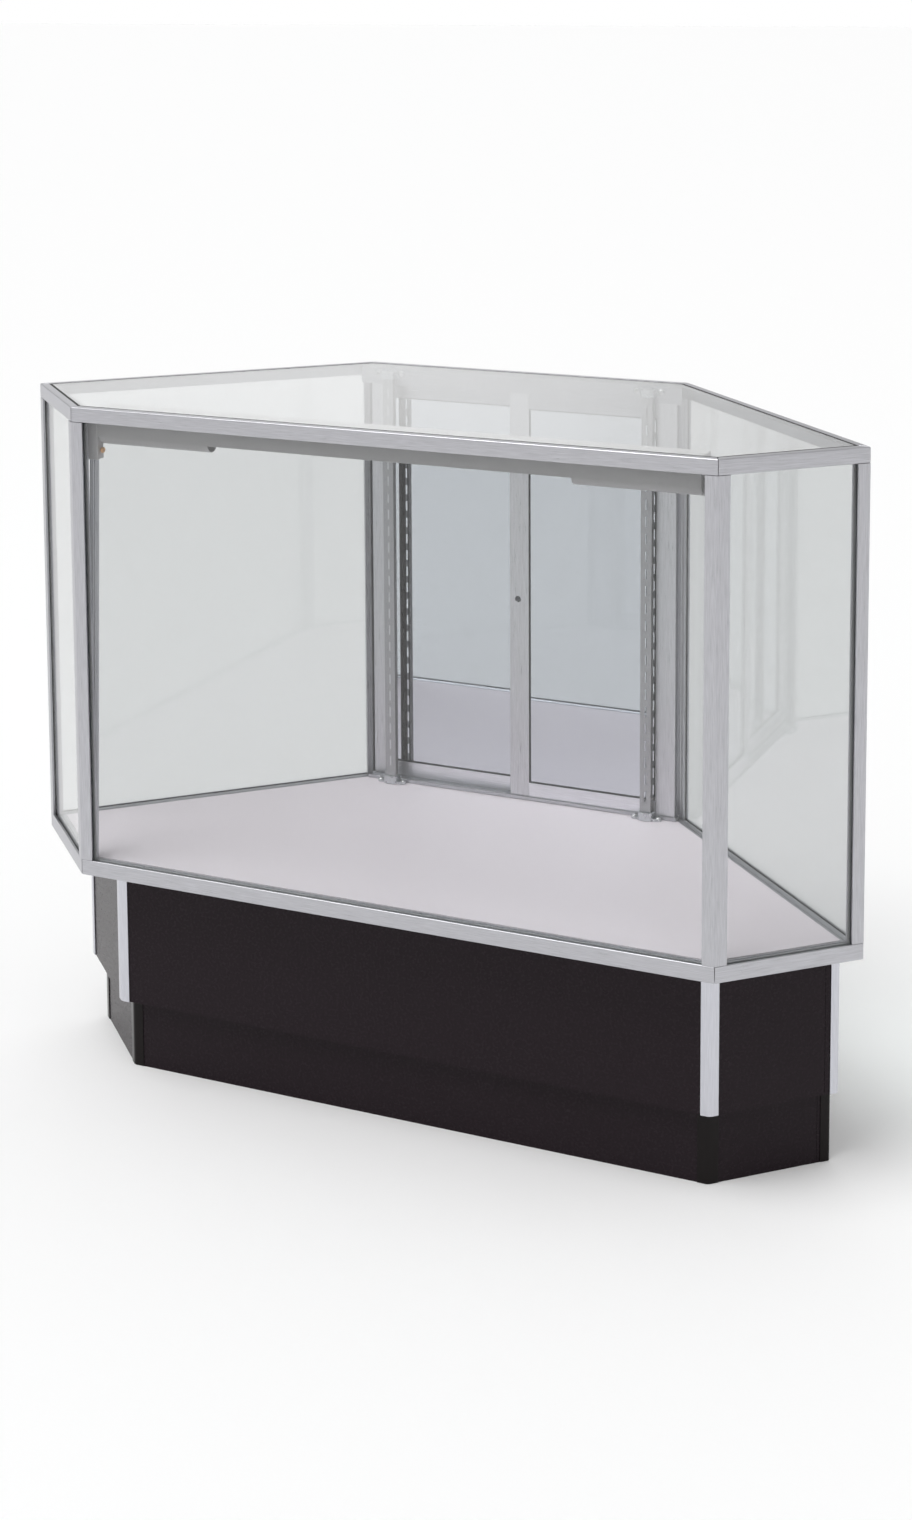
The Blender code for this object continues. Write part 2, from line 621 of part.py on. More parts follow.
def make_light(ring):
    """A folded housing behind the front top rail, a round-bottomed cover at each end, and its wiring tube."""
    length, on = ring.length(FRONT), ring.empties[FRONT]
    back = HOUSING_FRONT + HOUSING_DEPTH
    section = [
        (HOUSING_FRONT, HOUSING_FRONT_BOTTOM), (HOUSING_FRONT + SHEET, HOUSING_FRONT_BOTTOM),
        (HOUSING_FRONT + SHEET, HOUSING_TOP - SHEET), (back - SHEET, HOUSING_TOP - SHEET),
        (back - SHEET, HOUSING_BACK_BOTTOM), (back, HOUSING_BACK_BOTTOM),
        (back, HOUSING_TOP), (HOUSING_FRONT, HOUSING_TOP),
    ]
    ends = (HOUSING_END, length - HOUSING_END)
    solid("light_housing", [[(x, y, z) for y, z in section] for x in ends], "light_enamel", on)

    centre, steps = (COVER_INSET, COVER_CENTRE), 12
    outside = arc(centre, COVER_RADIUS, math.pi, math.pi, steps)
    inside = arc(centre, COVER_RADIUS - SHEET, 2 * math.pi, -math.pi, steps)
    outline = []
    for curve in (outside, inside):
        outline += [(curve[0][0], COVER_TOP), *curve, (curve[-1][0], COVER_TOP)]
    inner_end = HOUSING_END + COVER_LENGTH
    spans = {"left": (HOUSING_END, inner_end), "right": (length - inner_end, length - HOUSING_END)}
    for side, span in spans.items():
        rings = [[(x, y, z) for y, z in outline] for x in span]
        solid(f"light_cover_{side}", rings, "light_enamel", on, round_piece=True)

    low = (CONNECTOR_X[0], HOUSING_FRONT, CONNECTOR_BOTTOM)
    high = (CONNECTOR_X[1], HOUSING_FRONT + CONNECTOR_DEPTH, CONNECTOR_TOP)
    box("conduit_connector", low, high, "light_enamel", on)
    rings = []
    for foot, z in ((CONDUIT_FOOT, DECK_TOP + GAP), (CONDUIT_HEAD, CONNECTOR_BOTTOM - GAP)):
        circle = arc(foot, CONDUIT_RADIUS, 0, 2 * math.pi, ROUND_SIDES)[:-1]
        rings.append([(x, y, z) for x, y in circle])
    solid("wiring_conduit", rings, "aluminium", on, round_piece=True)


def main():
    clear_scene()
    outer = plan_corners()
    ring = Ring("case", outer)
    make_frame(ring)
    make_glass(ring)
    make_base(outer)
    make_tracks(ring)
    make_doors()
    make_standard("left", -STANDARD_X)
    make_standard("right", STANDARD_X)
    make_light(ring)


main()
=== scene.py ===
"""Looks of a floor-standing corner showcase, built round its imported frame.

The case is a six-sided ring of mitred aluminium rails and posts that hold glass on gaskets. It stands on a
black laminate base with a toe kick, and its back closes with two mirrored doors that slide past each other.
Every length is in metres. Each edge of the plan has its own frame: along the edge, inset from its outer face
towards the middle of the case, and up.
"""
import logging
import math
from collections.abc import Iterable, Sequence
from dataclasses import dataclass
from enum import Enum

import bpy
import numpy as np
from mathutils import Matrix, Vector


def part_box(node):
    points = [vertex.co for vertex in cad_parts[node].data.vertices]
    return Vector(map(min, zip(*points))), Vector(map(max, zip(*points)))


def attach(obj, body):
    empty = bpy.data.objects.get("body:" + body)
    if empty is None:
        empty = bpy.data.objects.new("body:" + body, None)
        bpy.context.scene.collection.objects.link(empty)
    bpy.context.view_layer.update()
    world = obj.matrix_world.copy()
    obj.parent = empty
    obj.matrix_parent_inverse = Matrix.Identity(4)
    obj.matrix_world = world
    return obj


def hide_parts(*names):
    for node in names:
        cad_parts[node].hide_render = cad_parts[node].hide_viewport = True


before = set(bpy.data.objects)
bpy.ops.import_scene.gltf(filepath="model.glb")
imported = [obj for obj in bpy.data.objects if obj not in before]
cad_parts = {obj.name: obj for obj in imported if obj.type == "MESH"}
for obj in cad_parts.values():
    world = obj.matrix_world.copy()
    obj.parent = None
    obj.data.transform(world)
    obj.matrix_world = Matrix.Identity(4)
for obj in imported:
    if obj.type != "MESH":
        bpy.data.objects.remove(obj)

log = logging.getLogger("showcase")

Array = np.ndarray
Faces = list[tuple[int, ...]]
Pair = tuple[float, float]
Triple = tuple[float, float, float]
Socket = bpy.types.NodeSocket

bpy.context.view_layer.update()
UP = np.array([0.0, 0.0, 1.0])
BACKWARDS = np.array([0.0, 1.0, 0.0])
CASE, INNER_DOOR, OUTER_DOOR, LOCK = "case", "inner_door", "outer_door", "lock"
JOINT_GAP = 0.0003
MITRE_GAP = 0.0008
END_EASE = 0.0005
EASE_LIMIT = 0.45
BORE_POINTS = 64
NOISE_MIDDLE = (0.3, 0.7)
SMOOTHEST = 0.02
RELIEF_DEPTH = 0.0002


# ---------------------------------------------------------------------------------------------------------
# Finishes
# ---------------------------------------------------------------------------------------------------------


class Grain(Enum):
    """The way a brushed finish runs, as the turn about Z that lays it along X, or upright."""

    ALONG_X = 0.0
    TURNED_LEFT = math.radians(45)
    TURNED_RIGHT = math.radians(-45)
    UPRIGHT = None


class NodeSheet:
    """A material's node tree with short calls for what the finishes need."""

    def __init__(self, name: str) -> None:
        """Starts a material that holds only its Principled shader.

        Args:
            name: The material's name.
        """
        self.material = bpy.data.materials.new(name)
        self.material.use_nodes = True
        self.tree = self.material.node_tree
        self.shader = self.tree.nodes["Principled BSDF"]
        self.output = self.tree.nodes["Material Output"]

    def add(self, kind: str, **settings: object) -> bpy.types.Node:
        """Adds a node and sets its own properties.

        Args:
            kind: The node's type name.
            **settings: Properties of the node.

        Returns:
            The new node.
        """
        node = self.tree.nodes.new(kind)
        for key, value in settings.items():
            setattr(node, key, value)
        return node

    def link(self, start: Socket, end: Socket) -> None:
        """Joins two sockets."""
        self.tree.links.new(start, end)

    def place(self, turn: float, scale: Sequence[float]) -> Socket:
        """Object coordinates, turned about Z and then scaled.

        Args:
            turn: The heading that becomes X, in radians.
            scale: Pattern repeats per metre along X, Y and Z.

        Returns:
            The vector socket.
        """
        source = self.add("ShaderNodeTexCoord").outputs["Object"]
        turned = self.add("ShaderNodeMapping")
        turned.inputs["Rotation"].default_value = (0, 0, -turn)
        scaled = self.add("ShaderNodeMapping")
        scaled.inputs["Scale"].default_value = scale
        self.link(source, turned.inputs["Vector"])
        self.link(turned.outputs[0], scaled.inputs["Vector"])
        return scaled.outputs[0]

    def noise(self, place: Socket, detail: float = 3.0, rough: float = 0.55) -> Socket:
        """Fractal noise at a place, from 0 to 1.

        Args:
            place: Where to read the pattern.
            detail: Its octaves.
            rough: The strength of the finer ones.

        Returns:
            The noise's socket.
        """
        node = self.add("ShaderNodeTexNoise")
        node.inputs["Scale"].default_value = 1.0
        node.inputs["Detail"].default_value = detail
        node.inputs["Roughness"].default_value = rough
        self.link(place, node.inputs["Vector"])
        return node.outputs[0]

    def spread(self, value: Socket, low: float, high: float) -> Socket:
        """Maps the middle range of a noise to low..high.

        Args:
            value: The noise.
            low: What its low end becomes.
            high: What its high end becomes.

        Returns:
            The mapped value's socket.
        """
        node = self.add("ShaderNodeMapRange")
        for name, number in zip(("From Min", "From Max", "To Min", "To Max"), (*NOISE_MIDDLE, low, high)):
            node.inputs[name].default_value = number
        self.link(value, node.inputs["Value"])
        return node.outputs[0]

    def tint(self, value: Socket, dark: Sequence[float], light: Sequence[float]) -> Socket:
        """Blends two colours by a noise.

        Args:
            value: The noise.
            dark: The colour at its low end.
            light: The colour at its high end.

        Returns:
            The colour's socket.
        """
        node = self.add("ShaderNodeMix", data_type="RGBA")
        colours = [s for s in node.inputs if s.type == "RGBA"]
        colours[0].default_value, colours[1].default_value = (*dark, 1), (*light, 1)
        self.link(self.spread(value, 0, 1), node.inputs["Factor"])
        return next(s for s in node.outputs if s.type == "RGBA")

    def bump(self, height: Socket, strength: float, depth: float) -> None:
        """Feeds the shader's normal with a bump of this depth.

        Args:
            height: The relief.
            strength: The share of it that shows.
            depth: Its full depth.
        """
        node = self.add("ShaderNodeBump")
        node.inputs["Strength"].default_value = strength
        node.inputs["Distance"].default_value = depth
        self.link(height, node.inputs["Height"])
        self.link(node.outputs[0], self.shader.inputs["Normal"])

    def plain(self, name: str, value: float) -> None:
        """Gives one of the shader's inputs a plain value instead of what is linked to it.

        Args:
            name: The input's name.
            value: Its value.
        """
        for link in list(self.shader.inputs[name].links):
            self.tree.links.remove(link)
        self.shader.inputs[name].default_value = value


@dataclass(frozen=True)
class Finish:
    """What every finish has: a name, the record's slot, a colour and the shader's plain values."""

    name: str
    slot: str
    colour: Triple
    roughness: float
    metallic: float = 0.0
    specular: float = 0.5
    variation: float = 0.05
    roughness_variation: float = 0.06
    bump: float = 0.0

    def scale(self) -> Triple:
        """Pattern repeats per metre along the finish's own axes."""
        return (220.0, 220.0, 220.0)

    def turn(self) -> float:
        """The heading that the pattern follows."""
        return 0.0

    def material(self) -> bpy.types.Material:
        """The finish's material, made on its first use.

        Returns:
            A material whose colour, roughness and fine relief vary over the surface.
        """
        made = bpy.data.materials.get(self.name)
        if made:
            return made
        sheet = NodeSheet(self.name)
        shader = sheet.shader
        shader.inputs["Metallic"].default_value = self.metallic
        shader.inputs["Specular IOR Level"].default_value = self.specular
        fine = sheet.noise(sheet.place(self.turn(), self.scale()))
        dark = tuple(c * (1 - self.variation) for c in self.colour)
        light = tuple(min(1.0, c * (1 + self.variation)) for c in self.colour)
        sheet.link(sheet.tint(fine, dark, light), shader.inputs["Base Color"])
        low, high = self.roughness - self.roughness_variation, self.roughness + self.roughness_variation
        sheet.link(sheet.spread(fine, max(low, SMOOTHEST), high), shader.inputs["Roughness"])
        if self.bump:
            sheet.bump(fine, self.bump, RELIEF_DEPTH)
        self.adjust(sheet)
        return sheet.material

    def adjust(self, sheet: NodeSheet) -> None:
        """Adds what only this kind of finish has."""


@dataclass(frozen=True)
class Brushed(Finish):
    """Metal with fine scratches along one heading."""

    grain: Grain = Grain.ALONG_X
    streak_length: float = 0.030
    streak_width: float = 0.0011

    def scale(self) -> Triple:
        """Long repeats along the grain and fine ones across it."""
        along, across = 1 / self.streak_length, 1 / self.streak_width
        return (across, across, along) if self.grain is Grain.UPRIGHT else (along, across, across)

    def turn(self) -> float:
        """The grain's own heading."""
        return self.grain.value or 0.0


@dataclass(frozen=True)
class Clear(Finish):
    """Glass that lets the lamps' light straight through its thin panes."""

    shadow_tint: Triple = (0.94, 0.96, 0.955)
    ior: float = 1.5

    def adjust(self, sheet: NodeSheet) -> None:
        """Makes the shader transmit, and a transparent shader stand in for it on rays to the lamps.

        Args:
            sheet: The material's nodes.
        """
        sheet.plain("Transmission Weight", 1.0)
        sheet.plain("IOR", self.ior)
        sheet.plain("Roughness", self.roughness)
        see_through = sheet.add("ShaderNodeBsdfTransparent")
        see_through.inputs["Color"].default_value = (*self.shadow_tint, 1)
        mix = sheet.add("ShaderNodeMixShader")
        sheet.link(sheet.add("ShaderNodeLightPath").outputs["Is Shadow Ray"], mix.inputs[0])
        sheet.link(sheet.shader.outputs[0], mix.inputs[1])
        sheet.link(see_through.outputs[0], mix.inputs[2])
        sheet.link(mix.outputs[0], sheet.output.inputs["Surface"])


@dataclass(frozen=True)
class Silvered(Finish):
    """A mirror: an even silver behind glass."""

    def adjust(self, sheet: NodeSheet) -> None:
        """Keeps the mirror's surface even."""
        sheet.plain("Roughness", self.roughness)


TRIM_METAL = Brushed("trim_aluminium", "frame_aluminium", (0.60, 0.605, 0.65), 0.36, metallic=1.0,
                     variation=0.09, roughness_variation=0.08, bump=0.2, grain=Grain.UPRIGHT)
# A much lighter copy of the aluminium on the doors' foot rails: it paints the deck's bright reflection in
# them.
PAINTED_LIGHT_FOOT_METAL = Brushed("foot_aluminium_painted_light", "frame_aluminium", (0.84, 0.84, 0.88), 0.36, metallic=1.0,
                     variation=0.09, roughness_variation=0.08, bump=0.2, grain=Grain.ALONG_X)
# A lighter copy of the aluminium on the door stiles: it paints more light on them.
PAINTED_LIGHT_DOOR_METAL = Brushed("door_aluminium_painted_light", "frame_aluminium", (0.64, 0.64, 0.665), 0.36, metallic=1.0,
                     variation=0.11, roughness_variation=0.10, bump=0.3, grain=Grain.UPRIGHT)


def aluminium(grain: Grain) -> Brushed:
    """Satin anodised aluminium, brushed along a heading.

    Args:
        grain: The heading of the brushing.

    Returns:
        The finish.
    """
    return Brushed(
        f"aluminium_{grain.name.lower()}", "frame_aluminium", (0.49, 0.49, 0.517), 0.36,
        metallic=1.0, variation=0.14, roughness_variation=0.10, bump=0.35, grain=grain,
    )


ZINC = Brushed("zinc_plate", "zinc_steel", (0.42, 0.42, 0.432), 0.40, metallic=0.85, variation=0.05,
               grain=Grain.UPRIGHT, streak_length=0.05, streak_width=0.002, bump=0.06)
CLIP_ZINC = Finish("clip_zinc", "zinc_steel", (0.58, 0.60, 0.62), 0.30, metallic=1.0, variation=0.05,
                   bump=0.05)
# A darker copy of the standards' zinc: it paints the shade on the channels' flanks.
PAINTED_SHADE_ZINC = Finish("painted_shade_zinc", "zinc_steel", (0.17, 0.165, 0.17), 0.5, metallic=0.3, variation=0.05)
# Near-black colour of the thin sheets inside the standards' channels: it paints their shade.
PAINTED_SHADE_STEEL = Finish("painted_shade_steel", "zinc_steel", (0.085, 0.075, 0.072), 0.55, metallic=0.3, variation=0.08)
GLASS = Clear("float_glass", "glass", (0.795, 0.806, 0.808), 0.0, variation=0.004)
MIRROR = Silvered("silvered_mirror", "mirror", (0.69, 0.715, 0.755), 0.015, metallic=1.0, variation=0.004)
MIRROR_BACK = Finish("mirror_backing", "mirror", (0.17, 0.19, 0.20), 0.55, variation=0.08, bump=0.1)
MELAMINE = Finish("melamine_face", "deck_melamine", (0.84, 0.765, 0.815), 0.45, variation=0.012,
                  roughness_variation=0.05, bump=0.015)
LAMINATE = Finish("laminate_face", "black_laminate", (0.0140, 0.0085, 0.0115), 0.26, specular=0.14,
                  variation=0.10, roughness_variation=0.05, bump=0.10)
KICK_VINYL = Finish("kick_corner_vinyl", "black_laminate", (0.004, 0.002, 0.002), 0.12, specular=0.2,
                    variation=0.1)
RUBBER = Finish("black_gasket", "nylon", (0.012, 0.011, 0.012), 0.6, variation=0.15, bump=0.1)
GREY_VINYL = Finish("grey_gasket", "nylon", (0.38, 0.38, 0.385), 0.5, variation=0.05, bump=0.05)
ENAMEL = Finish("grey_enamel", "light_enamel", (0.60, 0.585, 0.59), 0.40, variation=0.03, bump=0.06)
NYLON = Finish("white_nylon", "nylon", (0.78, 0.78, 0.76), 0.45, variation=0.03, bump=0.08)
CHROME = Finish("lock_chrome", "lock_chrome", (0.72, 0.73, 0.74), 0.13, metallic=1.0, variation=0.03)
SCREW = Finish("screw_zinc", "zinc_steel", (0.66, 0.66, 0.66), 0.24, metallic=1.0, variation=0.06)
BRASS = Finish("brass", "lock_chrome", (0.74, 0.42, 0.20), 0.25, metallic=1.0, variation=0.08)
TUBE = Finish("lamp_glass", "nylon", (0.86, 0.86, 0.84), 0.22, variation=0.02)
FLOOR_PAINT = Finish("floor_paint", "", (0.95, 0.95, 0.95), 0.8, variation=0.004)


# ---------------------------------------------------------------------------------------------------------
# Surfaces
# ---------------------------------------------------------------------------------------------------------


@dataclass
class Shell:
    """Points and faces of one or more closed surfaces."""

    points: Array
    faces: Faces

    def __add__(self, other: "Shell") -> "Shell":
        """Both shells in one.

        Args:
            other: The shell to add.

        Returns:
            The one shell.
        """
        shift = len(self.points)
        moved = [tuple(i + shift for i in face) for face in other.faces]
        return Shell(np.vstack([self.points, other.points]), self.faces + moved)

    def outward(self) -> "Shell":
        """The shell with its faces pointing out: turned round where its signed volume is negative.

        Returns:
            The shell, turned round where it was inside out.
        """
        volume = 0.0
        for face in self.faces:
            p = self.points[list(face)]
            volume += np.einsum("ij,ij->", np.cross(p[1:-1], p[2:]), np.broadcast_to(p[0], p[2:].shape))
        if volume >= 0:
            return self
        return Shell(self.points, [face[::-1] for face in self.faces])


def merged(shells: Iterable[Shell]) -> Shell:
    """One shell that holds several, each turned outwards.

    Args:
        shells: The closed surfaces.

    Returns:
        The one shell.
    """
    shells = [shell.outward() for shell in shells]
    total = shells[0]
    for shell in shells[1:]:
        total = total + shell
    return total


def piece(name: str, shell: Shell, finish: Finish, body: str = CASE, sharp: float = 32.0,
          stands_for: Sequence[str] = ()) -> bpy.types.Object:
    """Makes an object from a shell, dresses it and fastens it to its body.

    Args:
        name: The piece's name.
        shell: Its surface, in the frame of the case.
        finish: What it is covered with.
        body: The body that it moves with.
        sharp: Edges turning by more degrees than this stay crisp.
        stands_for: The frame's nodes that it takes the place of.

    Returns:
        The object.
    """
    mesh = bpy.data.meshes.new(name)
    mesh.from_pydata(shell.points.tolist(), [], shell.faces)
    mesh.validate()
    mesh.materials.append(finish.material())
    mesh.shade_smooth()
    mesh.set_sharp_from_angle(angle=math.radians(sharp))
    made = bpy.data.objects.new(name, mesh)
    bpy.context.scene.collection.objects.link(made)
    level = made.modifiers.new("flat faces stay flat", "WEIGHTED_NORMAL")
    level.keep_sharp = True
    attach(made, body)
    if stands_for:
        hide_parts(*stands_for)
    log.info("%s: %d faces on %s", name, len(mesh.polygons), body)
    return made


def redress(node: str, finish: Finish) -> None:
    """Gives one of the frame's own nodes a finish.

    Args:
        node: The node's name.
        finish: What it is covered with.
    """
    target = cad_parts[node]
    target.data.materials.clear()
    target.data.materials.append(finish.material())
    log.info("%s: dressed in %s", node, finish.name)


def eased(outline: Array, radius: float | Array, steps: int = 4) -> Array:
    """Rounds an outline's corners.

    Each corner P becomes the parabola (1-t)^2 A + 2t(1-t) P + t^2 B, where A and B lie on the two sides at
    `radius` from P, or at EASE_LIMIT of the side where that is shorter.

    Args:
        outline: The corners in order, one row each.
        radius: One radius, or one for each corner.
        steps: Points put in for each corner.

    Returns:
        The rounded outline.
    """
    outline = np.asarray(outline, float)
    back = np.roll(outline, 1, axis=0) - outline
    ahead = np.roll(outline, -1, axis=0) - outline
    reach = np.broadcast_to(np.asarray(radius, float), (len(outline),))
    sizes = [np.linalg.norm(side, axis=1) for side in (back, ahead)]
    sides = [side / size[:, None] for side, size in zip((back, ahead), sizes)]
    starts, ends = (
        outline + side * np.minimum(reach, EASE_LIMIT * size)[:, None] for side, size in zip(sides, sizes)
    )
    t = np.linspace(0, 1, steps)[None, :, None]
    curve = (1 - t) ** 2 * starts[:, None] + 2 * t * (1 - t) * outline[:, None] + t**2 * ends[:, None]
    return curve.reshape(-1, outline.shape[1])


def loft(loops: Array, capped: bool = True, ring: bool = False) -> Shell:
    """Joins loops of points in order.

    The surface is a grid: loop number one way, place round the loop the other.

    Args:
        loops: The loops, as (loop, point, xyz).
        capped: Whether the first and last loop are filled.
        ring: Whether the last loop joins back to the first.

    Returns:
        The surface.
    """
    count, size = loops.shape[:2]
    index = np.arange(count * size).reshape(count, size)
    near = index if ring else index[:-1]
    far = np.roll(index, -1, axis=0) if ring else index[1:]
    quads = np.stack([near, np.roll(near, -1, 1), np.roll(far, -1, 1), far], axis=-1)
    faces = [tuple(q) for q in quads.reshape(-1, 4).tolist()]
    if capped and not ring:
        faces += [tuple(index[0][::-1].tolist()), tuple(index[-1].tolist())]
    return Shell(loops.reshape(-1, 3), faces)


def drawn_to_middle(outline: Array, by: float) -> Array:
    """An outline whose points have each moved by this much towards its middle.

    Args:
        outline: The points, one row each.
        by: How far each one moves.

    Returns:
        The smaller outline.
    """
    flat = np.asarray(outline, float)
    middle = flat.mean(axis=0)
    return flat + (middle - flat) * (by / np.linalg.norm(flat - middle, axis=1))[:, None]


def prism(outline: Array, low: float, high: float, ease: float = 0.0) -> Shell:
    """Stands an outline of (x, y) points up between two heights, its rims eased by a small chamfer.

    The chamfer's loops are the outline drawn in towards its middle by `ease`.

    Args:
        outline: The (x, y) points in order.
        low: The height of its foot.
        high: The height of its top.
        ease: The chamfer's size, or 0 for crisp rims.

    Returns:
        The closed solid.
    """
    flat = np.asarray(outline, float)
    drawn = drawn_to_middle(flat, ease)
    levels = [(flat, low), (flat, high)]
    if ease:
        levels = [(drawn, low), (flat, low + ease), (flat, high - ease), (drawn, high)]
    loops = np.stack([np.column_stack([xy, np.full(len(xy), z)]) for xy, z in levels])
    return loft(loops).outward()


def squared(axis: Array) -> tuple[Array, Array, Array]:
    """An axis made a unit, with two unit directions square to it and to each other.

    Args:
        axis: The direction.

    Returns:
        The axis, a side and the other side.
    """
    steep = 0.9
    axis = np.asarray(axis, float) / np.linalg.norm(axis)
    side = np.cross(axis, UP if abs(axis[2]) < steep else (1.0, 0.0, 0.0))
    side /= np.linalg.norm(side)
    return axis, side, np.cross(axis, side)


def turned(profile: Array, foot: Array, axis: Array, sides: int = 32) -> Shell:
    """A solid of revolution: foot + h * axis + r * (cos a * side + sin a * other) over all (r, h) and a.

    Args:
        profile: The (r, h) points from foot to top.
        foot: The place on the axis that h counts from.
        axis: The direction of the axis.
        sides: Points round each circle.

    Returns:
        The closed solid.
    """
    axis, side, other = squared(axis)
    a = np.linspace(0, 2 * np.pi, sides, endpoint=False)
    spokes = np.cos(a)[:, None] * side + np.sin(a)[:, None] * other
    r, h = np.asarray(profile, float).T
    loops = np.asarray(foot, float) + h[:, None, None] * axis + r[:, None, None] * spokes[None]
    return loft(loops).outward()


def rectangle(low_u: float, high_u: float, low_v: float, high_v: float) -> Array:
    """A rectangle's corners, anticlockwise."""
    return np.array([(low_u, low_v), (high_u, low_v), (high_u, high_v), (low_u, high_v)])


def picture_frame(section: Array, corners: Array, across: Array) -> Shell:
    """Carries a section round a rectangle, mitred at its corners.

    A section point (s, d) becomes the rectangle drawn in by s at depth d: corner + s * inward + d * across,
    where inward at a corner is the sum of the unit directions of its two sides.

    Args:
        section: The (s, d) points of the closed section.
        corners: The rectangle's four corners in order.
        across: The unit normal that d counts along.

    Returns:
        The closed ring.
    """
    ahead = np.roll(corners, -1, axis=0) - corners
    back = np.roll(corners, 1, axis=0) - corners
    inward = ahead / np.linalg.norm(ahead, axis=1)[:, None] + back / np.linalg.norm(back, axis=1)[:, None]
    s, d = section[:, 0, None, None], section[:, 1, None, None]
    loops = corners[None] + s * inward[None] + d * across
    return loft(loops, ring=True).outward()


def pan_screw(centre: Array, axis: Array, radius: float, turn: float = 0.4) -> Shell:
    """A pan head with a cross recess.

    On a polar grid (r, a) the height is a dome, rise * sqrt(1 - (dome * r)^2), less `sink` where either arm
    of the cross, |x| < arm with |y| < reach or the reverse, covers the point.

    Args:
        centre: The middle of the head's underside.
        axis: The way that the head faces.
        radius: The head's radius.
        turn: The recess's turn about the axis, in radians.

    Returns:
        The closed head.
    """
    axis, side, other = squared(axis)
    rise, dome, sink, arm, reach = 0.62, 0.97, 0.30, 0.14, 0.6
    innermost, rings, spokes = 0.09, 12, 40
    r = np.concatenate([[0.0], np.linspace(innermost, dome, rings), [1.0]])[::-1]
    a = np.linspace(0, 2 * np.pi, spokes, endpoint=False)
    r_grid, a_grid = np.meshgrid(r, a, indexing="ij")
    x, y = r_grid * np.cos(a_grid), r_grid * np.sin(a_grid)
    cx, cy = x * math.cos(turn) + y * math.sin(turn), y * math.cos(turn) - x * math.sin(turn)
    cross = ((abs(cx) < arm) & (abs(cy) < reach)) | ((abs(cy) < arm) & (abs(cx) < reach))
    height = rise * np.sqrt(1 - (dome * r_grid) ** 2) - sink * cross
    rim = np.stack([x[0], y[0], np.zeros_like(x[0])], axis=-1)[None]
    local = np.vstack([rim, np.stack([x, y, height], axis=-1)[:-1]]) * radius
    points = centre + local[..., :1] * side + local[..., 1:2] * other + local[..., 2:] * axis
    return loft(points).outward()


def box_shell(low: Sequence[float], high: Sequence[float], ease: float = 0.0004) -> Shell:
    """An upright box between two corners with eased edges."""
    outline = eased(rectangle(low[0], high[0], low[1], high[1]), ease, 3)
    return prism(outline, low[2], high[2], ease / 2)


def around(outline: Array, count: int) -> Array:
    """Points spread along a closed outline, its corners kept, the same number on each side.

    Args:
        outline: The corners in order.
        count: How many points, a multiple of the corners.

    Returns:
        The points in order.
    """
    each = count // len(outline)
    t = np.arange(each)[None, :, None] / each
    ahead = np.roll(outline, -1, axis=0)
    return (outline[:, None] * (1 - t) + ahead[:, None] * t).reshape(-1, 2)


def circle(radius: float, count: int, first: float = -0.75 * math.pi) -> Array:
    """Points round a circle, anticlockwise, from the angle that faces a rectangle's first corner."""
    a = first + np.linspace(0, 2 * np.pi, count, endpoint=False)
    return radius * np.column_stack([np.cos(a), np.sin(a)])


# ---------------------------------------------------------------------------------------------------------
# The plan
# ---------------------------------------------------------------------------------------------------------


class Edge(Enum):
    """The edges of the plan, anticlockwise from its left corner. Each starts at the corner of its number."""

    FRONT_LEFT = 0
    FRONT = 1
    FRONT_RIGHT = 2
    SIDE_RIGHT = 3
    BACK = 4
    SIDE_LEFT = 5

    @property
    def tag(self) -> str:
        """The edge's part of a node's name."""
        return self.name.lower()

    @property
    def grain(self) -> Grain:
        """The brushing that runs along the edge.

        Returns:
            The grain.
        """
        if self in (Edge.FRONT, Edge.BACK):
            return Grain.ALONG_X
        return Grain.TURNED_LEFT if self in (Edge.FRONT_RIGHT, Edge.SIDE_LEFT) else Grain.TURNED_RIGHT


CORNERS = ("left", "front_left", "front_right", "right", "back_right", "back_left")
HEADINGS = np.radians([-45, 0, 45, 135, 180, 225])
ANGLES = np.radians([90, 135, 135, 90, 135, 135])
GLAZED = tuple(edge for edge in Edge if edge is not Edge.BACK)
FRONTS = (Edge.FRONT_LEFT, Edge.FRONT, Edge.FRONT_RIGHT)


